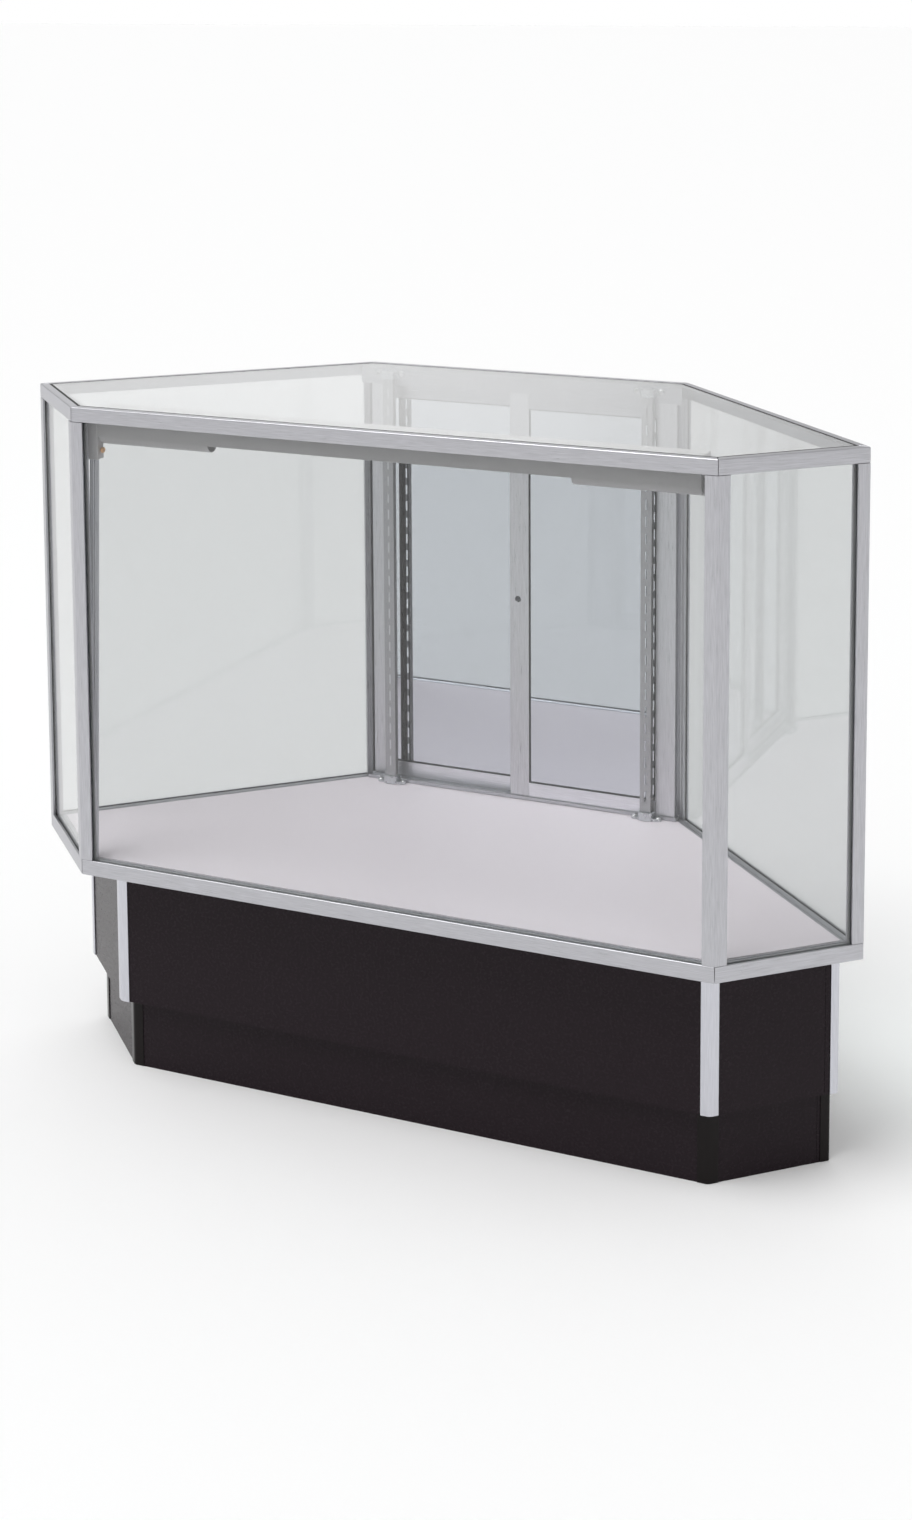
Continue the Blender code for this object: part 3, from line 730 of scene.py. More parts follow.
@dataclass(frozen=True)
class Plan:
    """A six-sided outline with the case's own angles, given by its corners."""

    corners: Array

    @classmethod
    def outer(cls, width: float = 1.2192, depth: float = 0.508, side: float = 0.508) -> "Plan":
        """The case's own outline: a square corner at each end, cut off by the back and by the front.

        Args:
            width: The width over the end corners.
            depth: The depth from front to back.
            side: The length of a side.

        Returns:
            The plan.
        """
        front = math.sqrt(2) * depth - side
        half_front = width / 2 - front / math.sqrt(2)
        half_back = width / 2 - side / math.sqrt(2)
        turn = -depth / 2 + front / math.sqrt(2)
        right = [(half_front, -depth / 2), (width / 2, turn), (half_back, depth / 2)]
        (cx, cy), (dx, dy), (ex, ey) = right
        return cls(np.array([(-dx, dy), (-cx, cy), (cx, cy), (dx, dy), (ex, ey), (-ex, ey)]))

    def forward(self, edge: Edge) -> Array:
        """The unit direction along an edge."""
        heading = HEADINGS[edge.value]
        return np.array([math.cos(heading), math.sin(heading), 0.0])

    def inward(self, edge: Edge) -> Array:
        """The unit direction from an edge towards the middle of the case."""
        return np.cross(UP, self.forward(edge))

    def length(self, edge: Edge) -> float:
        """The length of an edge."""
        ahead = self.corners[(edge.value + 1) % len(CORNERS)]
        return float(np.linalg.norm(ahead - self.corners[edge.value]))

    def reach(self, corner: int, inset: Array | float, beside: Array | float | None = None) -> Array | float:
        """How far past a corner a line at `inset` meets the line at `beside` on the neighbouring edge."""
        beside = inset if beside is None else beside
        return (beside + inset * math.cos(ANGLES[corner])) / math.sin(ANGLES[corner])

    def place(self, edge: Edge, along: Array | float, inset: Array | float, z: Array | float) -> Array:
        """Points given by their distance along an edge, their inset and their height.

        Args:
            edge: The edge that they are counted from.
            along: The distance along it.
            inset: The distance inwards from it.
            z: The height.

        Returns:
            The points.
        """
        along, inset, z = np.broadcast_arrays(along, inset, z)
        start = np.append(self.corners[edge.value], 0.0)
        offsets = along[..., None] * self.forward(edge) + inset[..., None] * self.inward(edge)
        return start + offsets + z[..., None] * UP

    def drawn_in(self, front: float, side: float, back: float) -> "Plan":
        """The outline whose fronts, sides and back lie this far inside this one.

        Args:
            front: The inset of the three fronts.
            side: The inset of the two sides.
            back: The inset of the back.

        Returns:
            The smaller plan.
        """
        insets = (front, front, front, side, back, side)
        corners = [
            self.place(edge, self.reach(i, insets[i], insets[i - 1]), insets[i], 0.0)[:2]
            for i, edge in enumerate(Edge)
        ]
        return Plan(np.array(corners))

    def bar(self, edge: Edge, outline: Array, beside: float | None = None, gap: float = MITRE_GAP) -> Shell:
        """A bar along an edge.

        A point (inset, z) of the outline runs from reach(inset) past one corner to reach(inset) short of
        the other, so that the bar's ends are the planes of its mitres. Its end loops are drawn in a little,
        which leaves a small chamfer round each end.

        Args:
            edge: The edge that it lies on.
            outline: Its section, as (inset, z).
            beside: The inset of the lines that cut its ends, where it isn't mitred.
            gap: The gap at a joint, shared by both bars.

        Returns:
            The bar.
        """
        far_corner = (edge.value + 1) % len(CORNERS)
        loops = []
        for section, back in ((drawn_to_middle(outline, END_EASE), 0.0), (outline, END_EASE)):
            inset, z = np.asarray(section, float).T
            near = self.reach(edge.value, inset, beside) + gap / 2 + back
            far = self.length(edge) - self.reach(far_corner, inset, beside) - gap / 2 - back
            ends = [self.place(edge, along, inset, z) for along in (near, far)]
            loops = [ends[0], ends[1]] if not loops else [loops[0], ends[0], ends[1], loops[1]]
        return loft(np.stack(loops)).outward()

    def run(self, edge: Edge, outline: Array, start: float, end: float) -> Shell:
        """A bar of (inset, z) section between two square ends along an edge."""
        inset, z = np.asarray(outline, float).T
        return loft(np.stack([self.place(edge, along, inset, z) for along in (start, end)])).outward()

    def belt(self, outline: Array) -> Shell:
        """A closed ring of (inset, z) section round the whole plan, mitred at its corners.

        Args:
            outline: Its section, as (inset, z).

        Returns:
            The ring.
        """
        inset, z = np.asarray(outline, float).T
        loops = [self.place(edge, self.reach(edge.value, inset), inset, z) for edge in Edge]
        return loft(np.stack(loops), ring=True).outward()

    def before(self, corner: int, points: Array) -> Array:
        """Turns points counted back along the edge before a corner into the frame of the edge after it.

        Args:
            corner: The corner's number.
            points: The points, as (distance back, inset).

        Returns:
            The points, as (along, inset) of the edge after.
        """
        along, inset = np.asarray(points, float).T
        angle = ANGLES[corner]
        back = along * math.cos(angle) + inset * math.sin(angle)
        return np.column_stack([back, along * math.sin(angle) - inset * math.cos(angle)])

    def column(self, corner: int, outline: Array, low: float, high: float, ease: float = 0.0) -> Shell:
        """An upright of (along, inset) section at a corner, with its ends drawn in by `ease`.

        Args:
            corner: The corner's number.
            outline: Its section, as (along, inset).
            low: The height of its foot.
            high: The height of its top.
            ease: How far its ends are drawn in.

        Returns:
            The upright.
        """
        along, inset = np.asarray(outline, float).T
        foot = self.place(Edge(corner), along, inset, 0.0)[:, :2]
        return prism(foot, low, high, ease)

    def opening(self, edge: Edge, margin: float, low: float, high: float) -> Array:
        """The corners of an upright opening on an edge's outer face, `margin` in from each end.

        Args:
            edge: The edge.
            margin: The distance from each end of it.
            low: The opening's foot.
            high: Its head.

        Returns:
            The four corners in order.
        """
        end = self.length(edge) - margin
        along = np.array([margin, end, end, margin])
        return self.place(edge, along, 0.0, np.array([low, low, high, high]))


# ---------------------------------------------------------------------------------------------------------
# Frame and glazing
# ---------------------------------------------------------------------------------------------------------


@dataclass(frozen=True)
class Heights:
    """The levels of the case."""

    kick: float = 0.1016
    base: float = 0.3048
    deck: float = 0.3263
    opening_top: float = 0.9447
    ledge: float = 0.9587
    top: float = 0.9652


@dataclass(frozen=True)
class AluminiumFrame:
    """Mitred rails round the deck and the top, and a post at each corner, all with grooves for the panes."""

    plan: Plan
    levels: Heights
    rail_width: float = 0.022
    lip: float = 0.003
    groove_end: float = 0.0108
    groove_depth: float = 0.008
    rim: float = 0.0132
    rebate: float = 0.0108
    rebate_depth: float = 0.0010
    nose_ease: float = 0.0012
    crown_ease: float = 0.0024
    post_nose: float = 0.00045
    edge_ease: float = 0.0003
    post_face: float = 0.017
    post_groove_end: float = 0.0125
    flange_reach: float = 0.0195
    post_depth: float = 0.014
    pocket: float = 0.0024
    flutes: Pair = (0.28, 0.62)
    flute_size: Pair = (0.0016, 0.0016)
    ledge_steps: tuple[Pair, ...] = (
        (0.0044, 0.0009), (0.0044, 0.0016), (0.0052, 0.0016), (0.0052, 0.0003), (0.0066, 0.0008),
        (0.0066, 0.0014),
    )
    rib: float = 0.0007
    rib_start: float = 0.0184

    def top_section(self) -> Array:
        """A pane's groove below, and above it a flat rim and the top glass's ledge.

        Returns:
            The section, as (inset, z).
        """
        low, high, ledge = self.levels.opening_top, self.levels.top, self.levels.ledge
        roof = low + self.groove_depth
        corners = [
            (0, low), (self.lip, low), (self.lip, roof), (self.groove_end, roof), (self.groove_end, low),
            (self.rail_width, low), (self.rail_width, ledge), (self.rim, ledge), *self.rim_top(),
        ]
        return eased(np.array(corners), self.eases(corners, high))

    def rim_top(self) -> list[Pair]:
        """The rim from the top glass outwards: the gasket's rebate, a flat, and the outer edge.

        Returns:
            The points, as (inset, z).
        """
        high = self.levels.top
        low = high - self.rebate_depth
        return [(self.rim, low), (self.rebate, low), (self.rebate, high), (0, high)]

    def back_section(self) -> Array:
        """An angle: a web behind the doors and a flat rim that edges the top glass.

        Returns:
            The section, as (inset, z).
        """
        low, high, under = self.levels.opening_top, self.levels.top, self.levels.ledge + JOINT_GAP
        corners = [(0, low), (self.lip, low), (self.lip, under), (self.rim, under), *self.rim_top()]
        return eased(np.array(corners), self.eases(corners, high))

    def deck_section(self, grooved: bool) -> Array:
        """A flat bar with a pane's groove in its top and an inner ledge that falls away in two ridges.

        Args:
            grooved: Whether it holds a pane.

        Returns:
            The section, as (inset, z).
        """
        low, high = self.levels.base, self.levels.deck
        floor = high - self.groove_depth
        ledge = [(self.groove_end + along, high - down) for along, down in self.ledge_steps[::-1]]
        groove = [(self.groove_end, high), (self.groove_end, floor), (self.lip, floor), (self.lip, high)]
        corners = [
            (0, low), (self.rail_width, low), (self.rail_width, ledge[0][1]),
            *(ledge + groove if grooved else []), (0, high),
        ]
        return eased(np.array(corners), self.eases(corners, high))

    def eases(self, corners: Sequence[Pair], high: float) -> Array:
        """The eases: larger at the outer face's two corners, and the largest round the very top.

        Args:
            corners: The section's corners.
            high: The height of its top.

        Returns:
            One radius for each corner.
        """
        inset, z = np.asarray(corners, float).T
        crown = self.crown_ease if high == self.levels.top else self.nose_ease
        return np.where(inset == 0, np.where(z == high, crown, self.nose_ease), self.edge_ease)

    def glazed_side(self) -> list[Pair]:
        """One side of a post as (along, inset): its face, a pane's groove and a ribbed inner flange.

        Returns:
            The points, from the outer face inwards.
        """
        flange, start, end = self.groove_end, self.rib_start, self.rib_start + self.rib
        rib = [(start, flange), (start, flange + self.rib), (end, flange + self.rib), (end, flange)]
        return [
            (self.post_face, 0), (self.post_face, self.lip), (self.post_groove_end, self.lip),
            (self.post_groove_end, flange), *rib, (self.flange_reach, flange),
            (self.flange_reach, self.post_depth),
        ]

    def door_side(self) -> list[Pair]:
        """The doors' side of a back post: its face, and the pocket that a closed door's edge enters.

        Returns:
            The points, from the outer face inwards.
        """
        return [
            (self.post_face, 0), (self.post_face, self.lip), (self.pocket, self.lip),
            (self.pocket, self.post_depth * math.sqrt(2) - self.pocket),
        ]

    def fluted(self, start: Array, end: Array) -> list[Array]:
        """Two square flutes cut into the straight line from one point to another, to its left.

        Args:
            start: The line's first point.
            end: Its last point.

        Returns:
            The flutes' points in order.
        """
        along = (end - start) / np.linalg.norm(end - start)
        into = np.array([-along[1], along[0]])
        centre = np.array([self.post_face / 2, self.post_face / 2])
        into = into if (centre - start) @ into > 0 else -into
        points = []
        for share in self.flutes:
            near = start + share * (end - start)
            far = near + self.flute_size[0] * along
            points += [near, near + self.flute_size[1] * into, far + self.flute_size[1] * into, far]
        return points

    def post_section(self, corner: int) -> Array:
        """A post's outline at a corner, its nose eased the most.

        Args:
            corner: The corner's number.

        Returns:
            The outline, as (along, inset).
        """
        ahead, behind = Edge(corner), Edge((corner - 1) % len(CORNERS))
        after = self.door_side() if ahead is Edge.BACK else self.glazed_side()
        before = self.door_side() if behind is Edge.BACK else self.glazed_side()
        inner = [(float(self.plan.reach(corner, self.post_depth)), self.post_depth)]
        if Edge.BACK in (ahead, behind):
            inner = self.fluted(np.array(after[-1]), self.plan.before(corner, np.array(before[-1:]))[0])
        g = self.post_nose
        nose = [self.plan.before(corner, np.array([(g, 0.0)]))[0], (self.plan.reach(corner, g), g), (g, 0.0)]
        outline = np.vstack([nose, after, inner, self.plan.before(corner, np.array(before[::-1]))])
        radii = np.full(len(outline), self.edge_ease)
        radii[:3] = g / 3
        return eased(outline, radii)

    def build(self) -> None:
        """Makes every rail and post and stands them in for the frame's own."""
        for edge in Edge:
            finish = aluminium(edge.grain)
            top = self.back_section() if edge is Edge.BACK else self.top_section()
            name = f"top_rail_{edge.tag}"
            piece(f"{name}_profile", self.plan.bar(edge, top), finish, stands_for=[name])
            name = f"deck_rail_{edge.tag}"
            deck = self.deck_section(edge is not Edge.BACK)
            piece(f"{name}_profile", self.plan.bar(edge, deck), finish, stands_for=[name])
        low, high = self.levels.deck + JOINT_GAP, self.levels.opening_top - JOINT_GAP
        for corner, name in enumerate(CORNERS):
            shell = self.plan.column(corner, self.post_section(corner), low, high)
            piece(f"post_{name}_profile", shell, aluminium(Grain.UPRIGHT), stands_for=[f"post_{name}"])


@dataclass(frozen=True)
class Glazing:
    """Five upright panes and the top glass, each held by black gaskets that stand a little proud."""

    plan: Plan
    levels: Heights
    outer_bead: Pair = (0.0031, 0.0043)
    inner_bead: Pair = (0.0095, 0.0107)
    outer_reach: Pair = (-0.0016, -0.0004)
    inner_reach: Pair = (-0.004, -0.0003)
    face_margin: float = 0.017
    flange_margin: float = 0.0195
    bead_ease: float = 0.0004
    top_bead: Triple = (0.0109, 0.0133, 0.0147)
    top_drops: Triple = (0.0001, 0.0002, 0.0009)
    top_ease: float = 0.0003

    def bead(self, edge: Edge, margin: float, reach: Pair, depth: Pair) -> Shell:
        """One gasket: a rounded strip carried round an opening at a depth behind the outer face.

        Args:
            edge: The edge that the opening is on.
            margin: The opening's distance from the edge's ends.
            reach: How far it stands over the opening's rim, from and to.
            depth: How deep it lies, from and to.

        Returns:
            The gasket.
        """
        corners = self.plan.opening(edge, margin, self.levels.deck, self.levels.opening_top)
        section = eased(rectangle(*reach, *depth), self.bead_ease)
        return picture_frame(section, corners, self.plan.inward(edge))

    def build(self) -> None:
        """Dresses the panes and makes their gaskets."""
        for edge in GLAZED:
            redress(f"{edge.tag}_glass", GLASS)
            outer = self.bead(edge, self.face_margin, self.outer_reach, self.outer_bead)
            piece(f"{edge.tag}_outer_gasket", outer, RUBBER)
            inner = self.bead(edge, self.flange_margin, self.inner_reach, self.inner_bead)
            piece(f"{edge.tag}_inner_gasket", inner, GREY_VINYL)
        redress("top_glass", GLASS)
        low, high = self.levels.ledge + JOINT_GAP, self.levels.top
        lip, leg, glass = self.top_bead
        inner, outer, under = (high - drop for drop in self.top_drops)
        section = [(leg, low), (glass, low), (glass, inner), (lip, outer), (lip, under), (leg, under)]
        rim = eased(np.array(section), self.top_ease)
        piece("top_gasket", self.plan.belt(rim), RUBBER)


# ---------------------------------------------------------------------------------------------------------
# Base
# ---------------------------------------------------------------------------------------------------------


@dataclass(frozen=True)
class Base:
    """Laminate boards under the deck, bright angles round their corners and black ones round the kick's."""

    plan: Plan
    levels: Heights
    base_setback: float = 0.057
    kick_setback: float = 0.0775
    sheet: float = 0.0017
    leg: float = 0.013
    nose_ease: float = 0.0042
    leg_ease: float = 0.0012
    kick_sheet: float = 0.0012
    kick_leg: float = 0.015
    side_clearance: float = 0.0007
    kick_play: float = 0.0001
    trim_ease: float = 0.0002
    floor_gap: float = 0.0004

    def angle_section(self, plan: Plan, corner: int, leg: float, sheet: float) -> Array:
        """A folded strip round a corner, as (along, inset), with a rounded nose and eased outer edges.

        Args:
            plan: The plan whose corner it goes round.
            corner: The corner's number.
            leg: The length of each leg.
            sheet: The strip's thickness.

        Returns:
            The outline.
        """
        ahead = [(leg, 0.0), (leg, sheet)]
        behind = plan.before(corner, np.array([(leg, sheet), (leg, 0.0)]))
        inner = (float(plan.reach(corner, sheet)), sheet)
        outline = np.array([(0.0, 0.0), *ahead, inner, *behind])
        small = sheet / 4
        radii = [self.nose_ease, self.leg_ease, small, self.nose_ease - sheet, small, self.leg_ease]
        return eased(outline, np.array(radii), 6)

    def build(self) -> None:
        """Dresses the boards and the deck, and makes the corner trims."""
        redress("deck_panel", MELAMINE)
        boards = ["back_panel", "side_panel_left", "side_panel_right"]
        for edge in FRONTS:
            boards += [f"base_panel_{edge.tag}", f"toe_kick_{edge.tag}"]
        for board in boards:
            redress(board, LAMINATE)
        trims = self.plan.drawn_in(self.base_setback, 0.0, 0.0)
        face = self.kick_setback - self.kick_sheet - self.kick_play
        kicks = self.plan.drawn_in(face, self.side_clearance, 0.0)
        top = self.levels.base - JOINT_GAP
        for corner, name in enumerate(CORNERS[:len(FRONTS) + 1]):
            section = self.angle_section(trims, corner, self.leg, self.sheet)
            shell = trims.column(corner, section, self.levels.kick, top, self.trim_ease)
            piece(f"corner_trim_{name}_fold", shell, TRIM_METAL, stands_for=[f"corner_trim_{name}"])
            section = self.angle_section(kicks, corner, self.kick_leg, self.kick_sheet)
            shell = kicks.column(corner, section, self.floor_gap, self.levels.kick - JOINT_GAP)
            piece(f"kick_trim_{name}", shell, KICK_VINYL)


# ---------------------------------------------------------------------------------------------------------
# Doors
# ---------------------------------------------------------------------------------------------------------


@dataclass(frozen=True)
class Tracks:
    """A header with three lips that guide the doors' tops, and a low track on the deck for their rollers."""

    plan: Plan
    levels: Heights
    lips: Triple = (0.0033, 0.0183, 0.0338)
    lip: float = 0.0012
    header_thickness: float = 0.0035
    upper_drop: float = 0.0217
    lower_base: float = 0.0015
    lower_rise: float = 0.0035
    rail_face: float = 0.0223
    pocket: float = 0.003
    ease: float = 0.0003

    def comb(self, inner: float, outer: float, tips: float, last: float) -> Array:
        """A comb's section: a web from the first lip to `last`, and the lips on its inner side.

        Args:
            inner: The height of the web's inner face.
            outer: The height of its outer face.
            tips: The height of the lips' tips.
            last: The inset where the web ends.

        Returns:
            The section, as (inset, z).
        """
        points = [(self.lips[0], outer), (last, outer)]
        if last > self.lips[-1] + self.lip:
            points.append((last, inner))
        for start in reversed(self.lips):
            end = start + self.lip
            points += [(end, inner)] if end < last else []
            points += [(end, tips), (start, tips)]
            points += [(start, inner)] if start > self.lips[0] else []
        return eased(np.array(points), self.ease, 3)

    def build(self) -> None:
        """Makes both tracks."""
        last = self.lips[-1] + self.lip
        header = self.levels.ledge - self.header_thickness
        upper = self.comb(header, self.levels.ledge, header - self.upper_drop, last)
        finish = aluminium(Grain.ALONG_X)
        piece("upper_track_comb", self.plan.bar(Edge.BACK, upper, self.rail_face), finish,
              stands_for=["upper_track"])
        low = self.levels.deck + JOINT_GAP
        web = low + self.lower_base
        lower = self.comb(web, low, web + self.lower_rise, last)
        end = self.plan.length(Edge.BACK) - self.pocket
        piece("lower_track_comb", self.plan.run(Edge.BACK, lower, self.pocket, end), finish,
              stands_for=["lower_track"])


@dataclass(frozen=True)
class SlidingDoor:
    """A mirror in a flat aluminium frame on two rollers.

    Depths count from the door's inner face towards the back of the case.
    """

    side: str
    body: str
    bored_right: bool
    bore: float
    thickness: float = 0.011
    stile: float = 0.030
    bottom_rail: float = 0.0225
    top_rail: float = 0.030
    mirror_front: float = 0.0035
    ease: float = 0.0006
    gasket: float = 0.0017
    gasket_sink: float = 0.0006
    gasket_face: float = 0.0009
    gasket_foot: Pair = (0.0003, 0.0001)
    backing: Triple = (0.00005, 0.0006, 0.0001)
    backing_margin: float = 0.0002
    roller_radius: float = 0.005
    roller_half: float = 0.002
    roller_crown: Pair = (0.0004, 0.0009)
    roller_dish: Pair = (0.0034, 0.0037)
    roller_web: float = 0.0014
    axle: Triple = (0.0005, 0.0015, 0.0023)
    channel: Pair = (0.0031, 0.0079)
    channel_top: float = 0.0093
    seam: float = 0.0003
    lock_height: float = 0.6305

    def frame_box(self) -> tuple[Vector, Vector]:
        """The corners of the frame's own door frame node."""
        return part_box(f"{self.side}_door_frame")

    def bored_stile(self, x: Pair, z: Pair, y: float) -> Shell:
        """The stile with the lock's bore.

        Loops run from the bore's rim out to the stile's outline, over its eased edge, down its sides, and
        back to the bore's far rim; the last loop joins the first through the bore.

        Args:
            x: Its two sides.
            z: Its two ends.
            y: The depth of its inner face.

        Returns:
            The stile.
        """
        count, ease, deep = BORE_POINTS, self.ease, self.thickness
        outline = around(rectangle(*x, *z), count)
        inner = around(rectangle(x[0] + ease, x[1] - ease, z[0] + ease, z[1] - ease), count)
        hole = np.array([0.0, self.lock_height]) + circle(self.bore, count)
        rim = np.array([0.0, self.lock_height]) + circle(self.bore + ease / 2, count)
        levels = [(hole, ease / 2), (rim, 0), (inner, 0), (outline, ease), (outline, deep - ease),
                  (inner, deep), (rim, deep), (hole, deep - ease / 2)]
        loops = [np.column_stack([xz[:, 0], np.full(count, y + d), xz[:, 1]]) for xz, d in levels]
        return loft(np.stack(loops), ring=True).outward()

    def slab(self, x: Pair, z: Pair, y: float) -> Shell:
        """A flat bar of the frame with eased edges: loops over its thickness."""
        return self.upright_panel(x, z, (y, y + self.thickness), self.ease)

    @staticmethod
    def upright_panel(x: Pair, z: Pair, y: Pair,
                      ease: float) -> Shell:
        """A panel facing along Y between two depths, with its rims chamfered.

        Args:
            x: Its two sides.
            z: Its two ends.
            y: Its two faces.
            ease: The chamfer's size.

        Returns:
            The panel.
        """
        outline = rectangle(*x, *z)
        inner = rectangle(x[0] + ease, x[1] - ease, z[0] + ease, z[1] - ease)
        levels = [(inner, y[0]), (outline, y[0] + ease), (outline, y[1] - ease), (inner, y[1])]
        loops = [np.column_stack([xz[:, 0], np.full(4, d), xz[:, 1]]) for xz, d in levels]
        return loft(np.stack(loops)).outward()

    def foot_rail(self, x: Pair, low: float, high: float, y: float) -> Shell:
        """The bottom rail: an inverted channel that the rollers sit in.

        Args:
            x: Its two ends.
            low: The height of its foot.
            high: The height of its top.
            y: The depth of its inner face.

        Returns:
            The rail.
        """
        near, far = self.channel
        roof = low + self.channel_top
        section = np.array([
            (0, low), (near, low), (near, roof), (far, roof), (far, low), (self.thickness, low),
            (self.thickness, high), (0, high),
        ])
        section = eased(section, self.ease, 3)
        loops = np.stack([
            np.column_stack([np.full(len(section), end), y + section[:, 0], section[:, 1]]) for end in x
        ])
        return loft(loops).outward()

    def roller(self, centre: Array) -> Shell:
        """A wheel with a crowned tyre, dished sides and a short axle.

        Args:
            centre: The wheel's middle.

        Returns:
            The wheel.
        """
        tyre, half, web = self.roller_radius, self.roller_half, self.roller_web
        (core, hub, reach), (dish, brim), (shoulder, flat) = self.axle, self.roller_dish, self.roller_crown
        side = [(core, reach), (hub, reach), (hub, web), (dish, web), (brim, half), (tyre - shoulder, half),
                (tyre, flat)]
        profile = [(r, -depth) for r, depth in side] + side[::-1]
        return turned(np.array(profile), centre, BACKWARDS, 40)

    def build(self) -> None:
        """Makes the frame, the mirror's gasket and backing, and the rollers."""
        low, high = self.frame_box()
        y = low.y
        bottom, top = low.z + self.bottom_rail, high.z - self.top_rail
        left, right = (low.x, low.x + self.stile), (high.x - self.stile, high.x)
        full, seam = (low.z, high.z), self.seam
        across = (left[1] + seam, right[0] - seam)
        bored, solid = (right, left) if self.bored_right else (left, right)
        stiles = [self.bored_stile(bored, full, y), self.slab(solid, full, y)]
        # The stiles take the lighter copy of the aluminium, which paints light on them.
        piece(f"{self.side}_door_stiles", merged(stiles), PAINTED_LIGHT_DOOR_METAL, self.body,
              stands_for=[f"{self.side}_door_frame"])
        piece(f"{self.side}_door_top_rail", self.slab(across, (top, high.z), y), aluminium(Grain.ALONG_X),
              self.body)
        # The foot rail takes the lighter copy that paints the deck's reflection.
        piece(f"{self.side}_door_foot_rail", self.foot_rail(across, low.z, bottom, y), PAINTED_LIGHT_FOOT_METAL, self.body)

        redress(f"{self.side}_door_mirror", MIRROR)
        opening = (left[1], right[0])
        glass_low, glass_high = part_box(f"{self.side}_door_mirror")
        rim = [(opening[0], y, bottom), (opening[1], y, bottom), (opening[1], y, top), (opening[0], y, top)]
        toe, foot = (self.mirror_front - rise for rise in self.gasket_foot)
        section = np.array([
            (0.0, self.gasket_sink), (self.gasket_face, self.gasket_sink), (self.gasket, toe),
            (self.gasket, foot), (0.0, foot),
        ])
        front = picture_frame(section, np.array(rim), BACKWARDS)
        piece(f"{self.side}_door_gasket", front, RUBBER, self.body)
        margin = self.backing_margin
        gap, deep, ease = self.backing
        sheet = self.upright_panel(
            (glass_low.x + margin, glass_high.x - margin), (glass_low.z + margin, glass_high.z - margin),
            (glass_high.y + gap, glass_high.y + deep), ease)
        piece(f"{self.side}_door_backing", sheet, MIRROR_BACK, self.body)

        for hand in ("left", "right"):
            node = f"{self.side}_door_roller_{hand}"
            near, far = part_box(node)
            centre = np.array((near + far) / 2)
            piece(f"{node}_wheel", self.roller(centre), NYLON, f"{self.side}_roller_{hand}",
                  stands_for=[node])


@dataclass(frozen=True)
class Lock:
    """A plunger lock's plug: a stepped body with a domed head and a key slot."""

    radius: float = 0.006
    nose_radius: float = 0.0042
    head_radius: float = 0.008
    nose_depth: float = 0.0027
    head_depth: float = 0.0041
    slot: Triple = (0.0012, 0.007, 0.002)
    tip: float = 0.0012
    nose_ease: float = 0.0006
    crown: tuple[Pair, ...] = (
        (0.0, 0.0013), (0.0004, 0.0005), (0.0013, 0.0), (0.0021, 0.0), (0.0023, 0.0003), (0.0026, 0.0),
    )

    def build(self) -> None:
        """Makes the plug along the outer door's bore."""
        low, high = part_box("lock_plug")
        foot = np.array(((low.x + high.x) / 2, low.y, (low.z + high.z) / 2))
        deep, head = high.y - low.y, high.y - low.y - self.head_depth
        count, nose = BORE_POINTS, self.nose_radius
        rounds = [
            (self.tip, 0), (nose - self.nose_ease, 0), (nose, self.nose_ease), (nose, self.nose_depth),
            (self.radius, self.nose_depth), (self.radius, head), (self.head_radius, head),
            *((self.head_radius - inset, deep - drop) for inset, drop in self.crown),
        ]
        width, height, sink = self.slot
        slot = around(rectangle(-width / 2, width / 2, -height / 2, height / 2), count)
        loops = [(circle(size, count), level) for size, level in rounds]
        loops += [(slot, deep), (slot, deep - sink)]
        points = np.stack([
            foot + np.column_stack([xz[:, 0], np.full(count, level), xz[:, 1]]) for xz, level in loops
        ])
        piece("lock_plug_chromed", loft(points), CHROME, LOCK, stands_for=["lock_plug"])


# ---------------------------------------------------------------------------------------------------------
# Fittings
# ---------------------------------------------------------------------------------------------------------


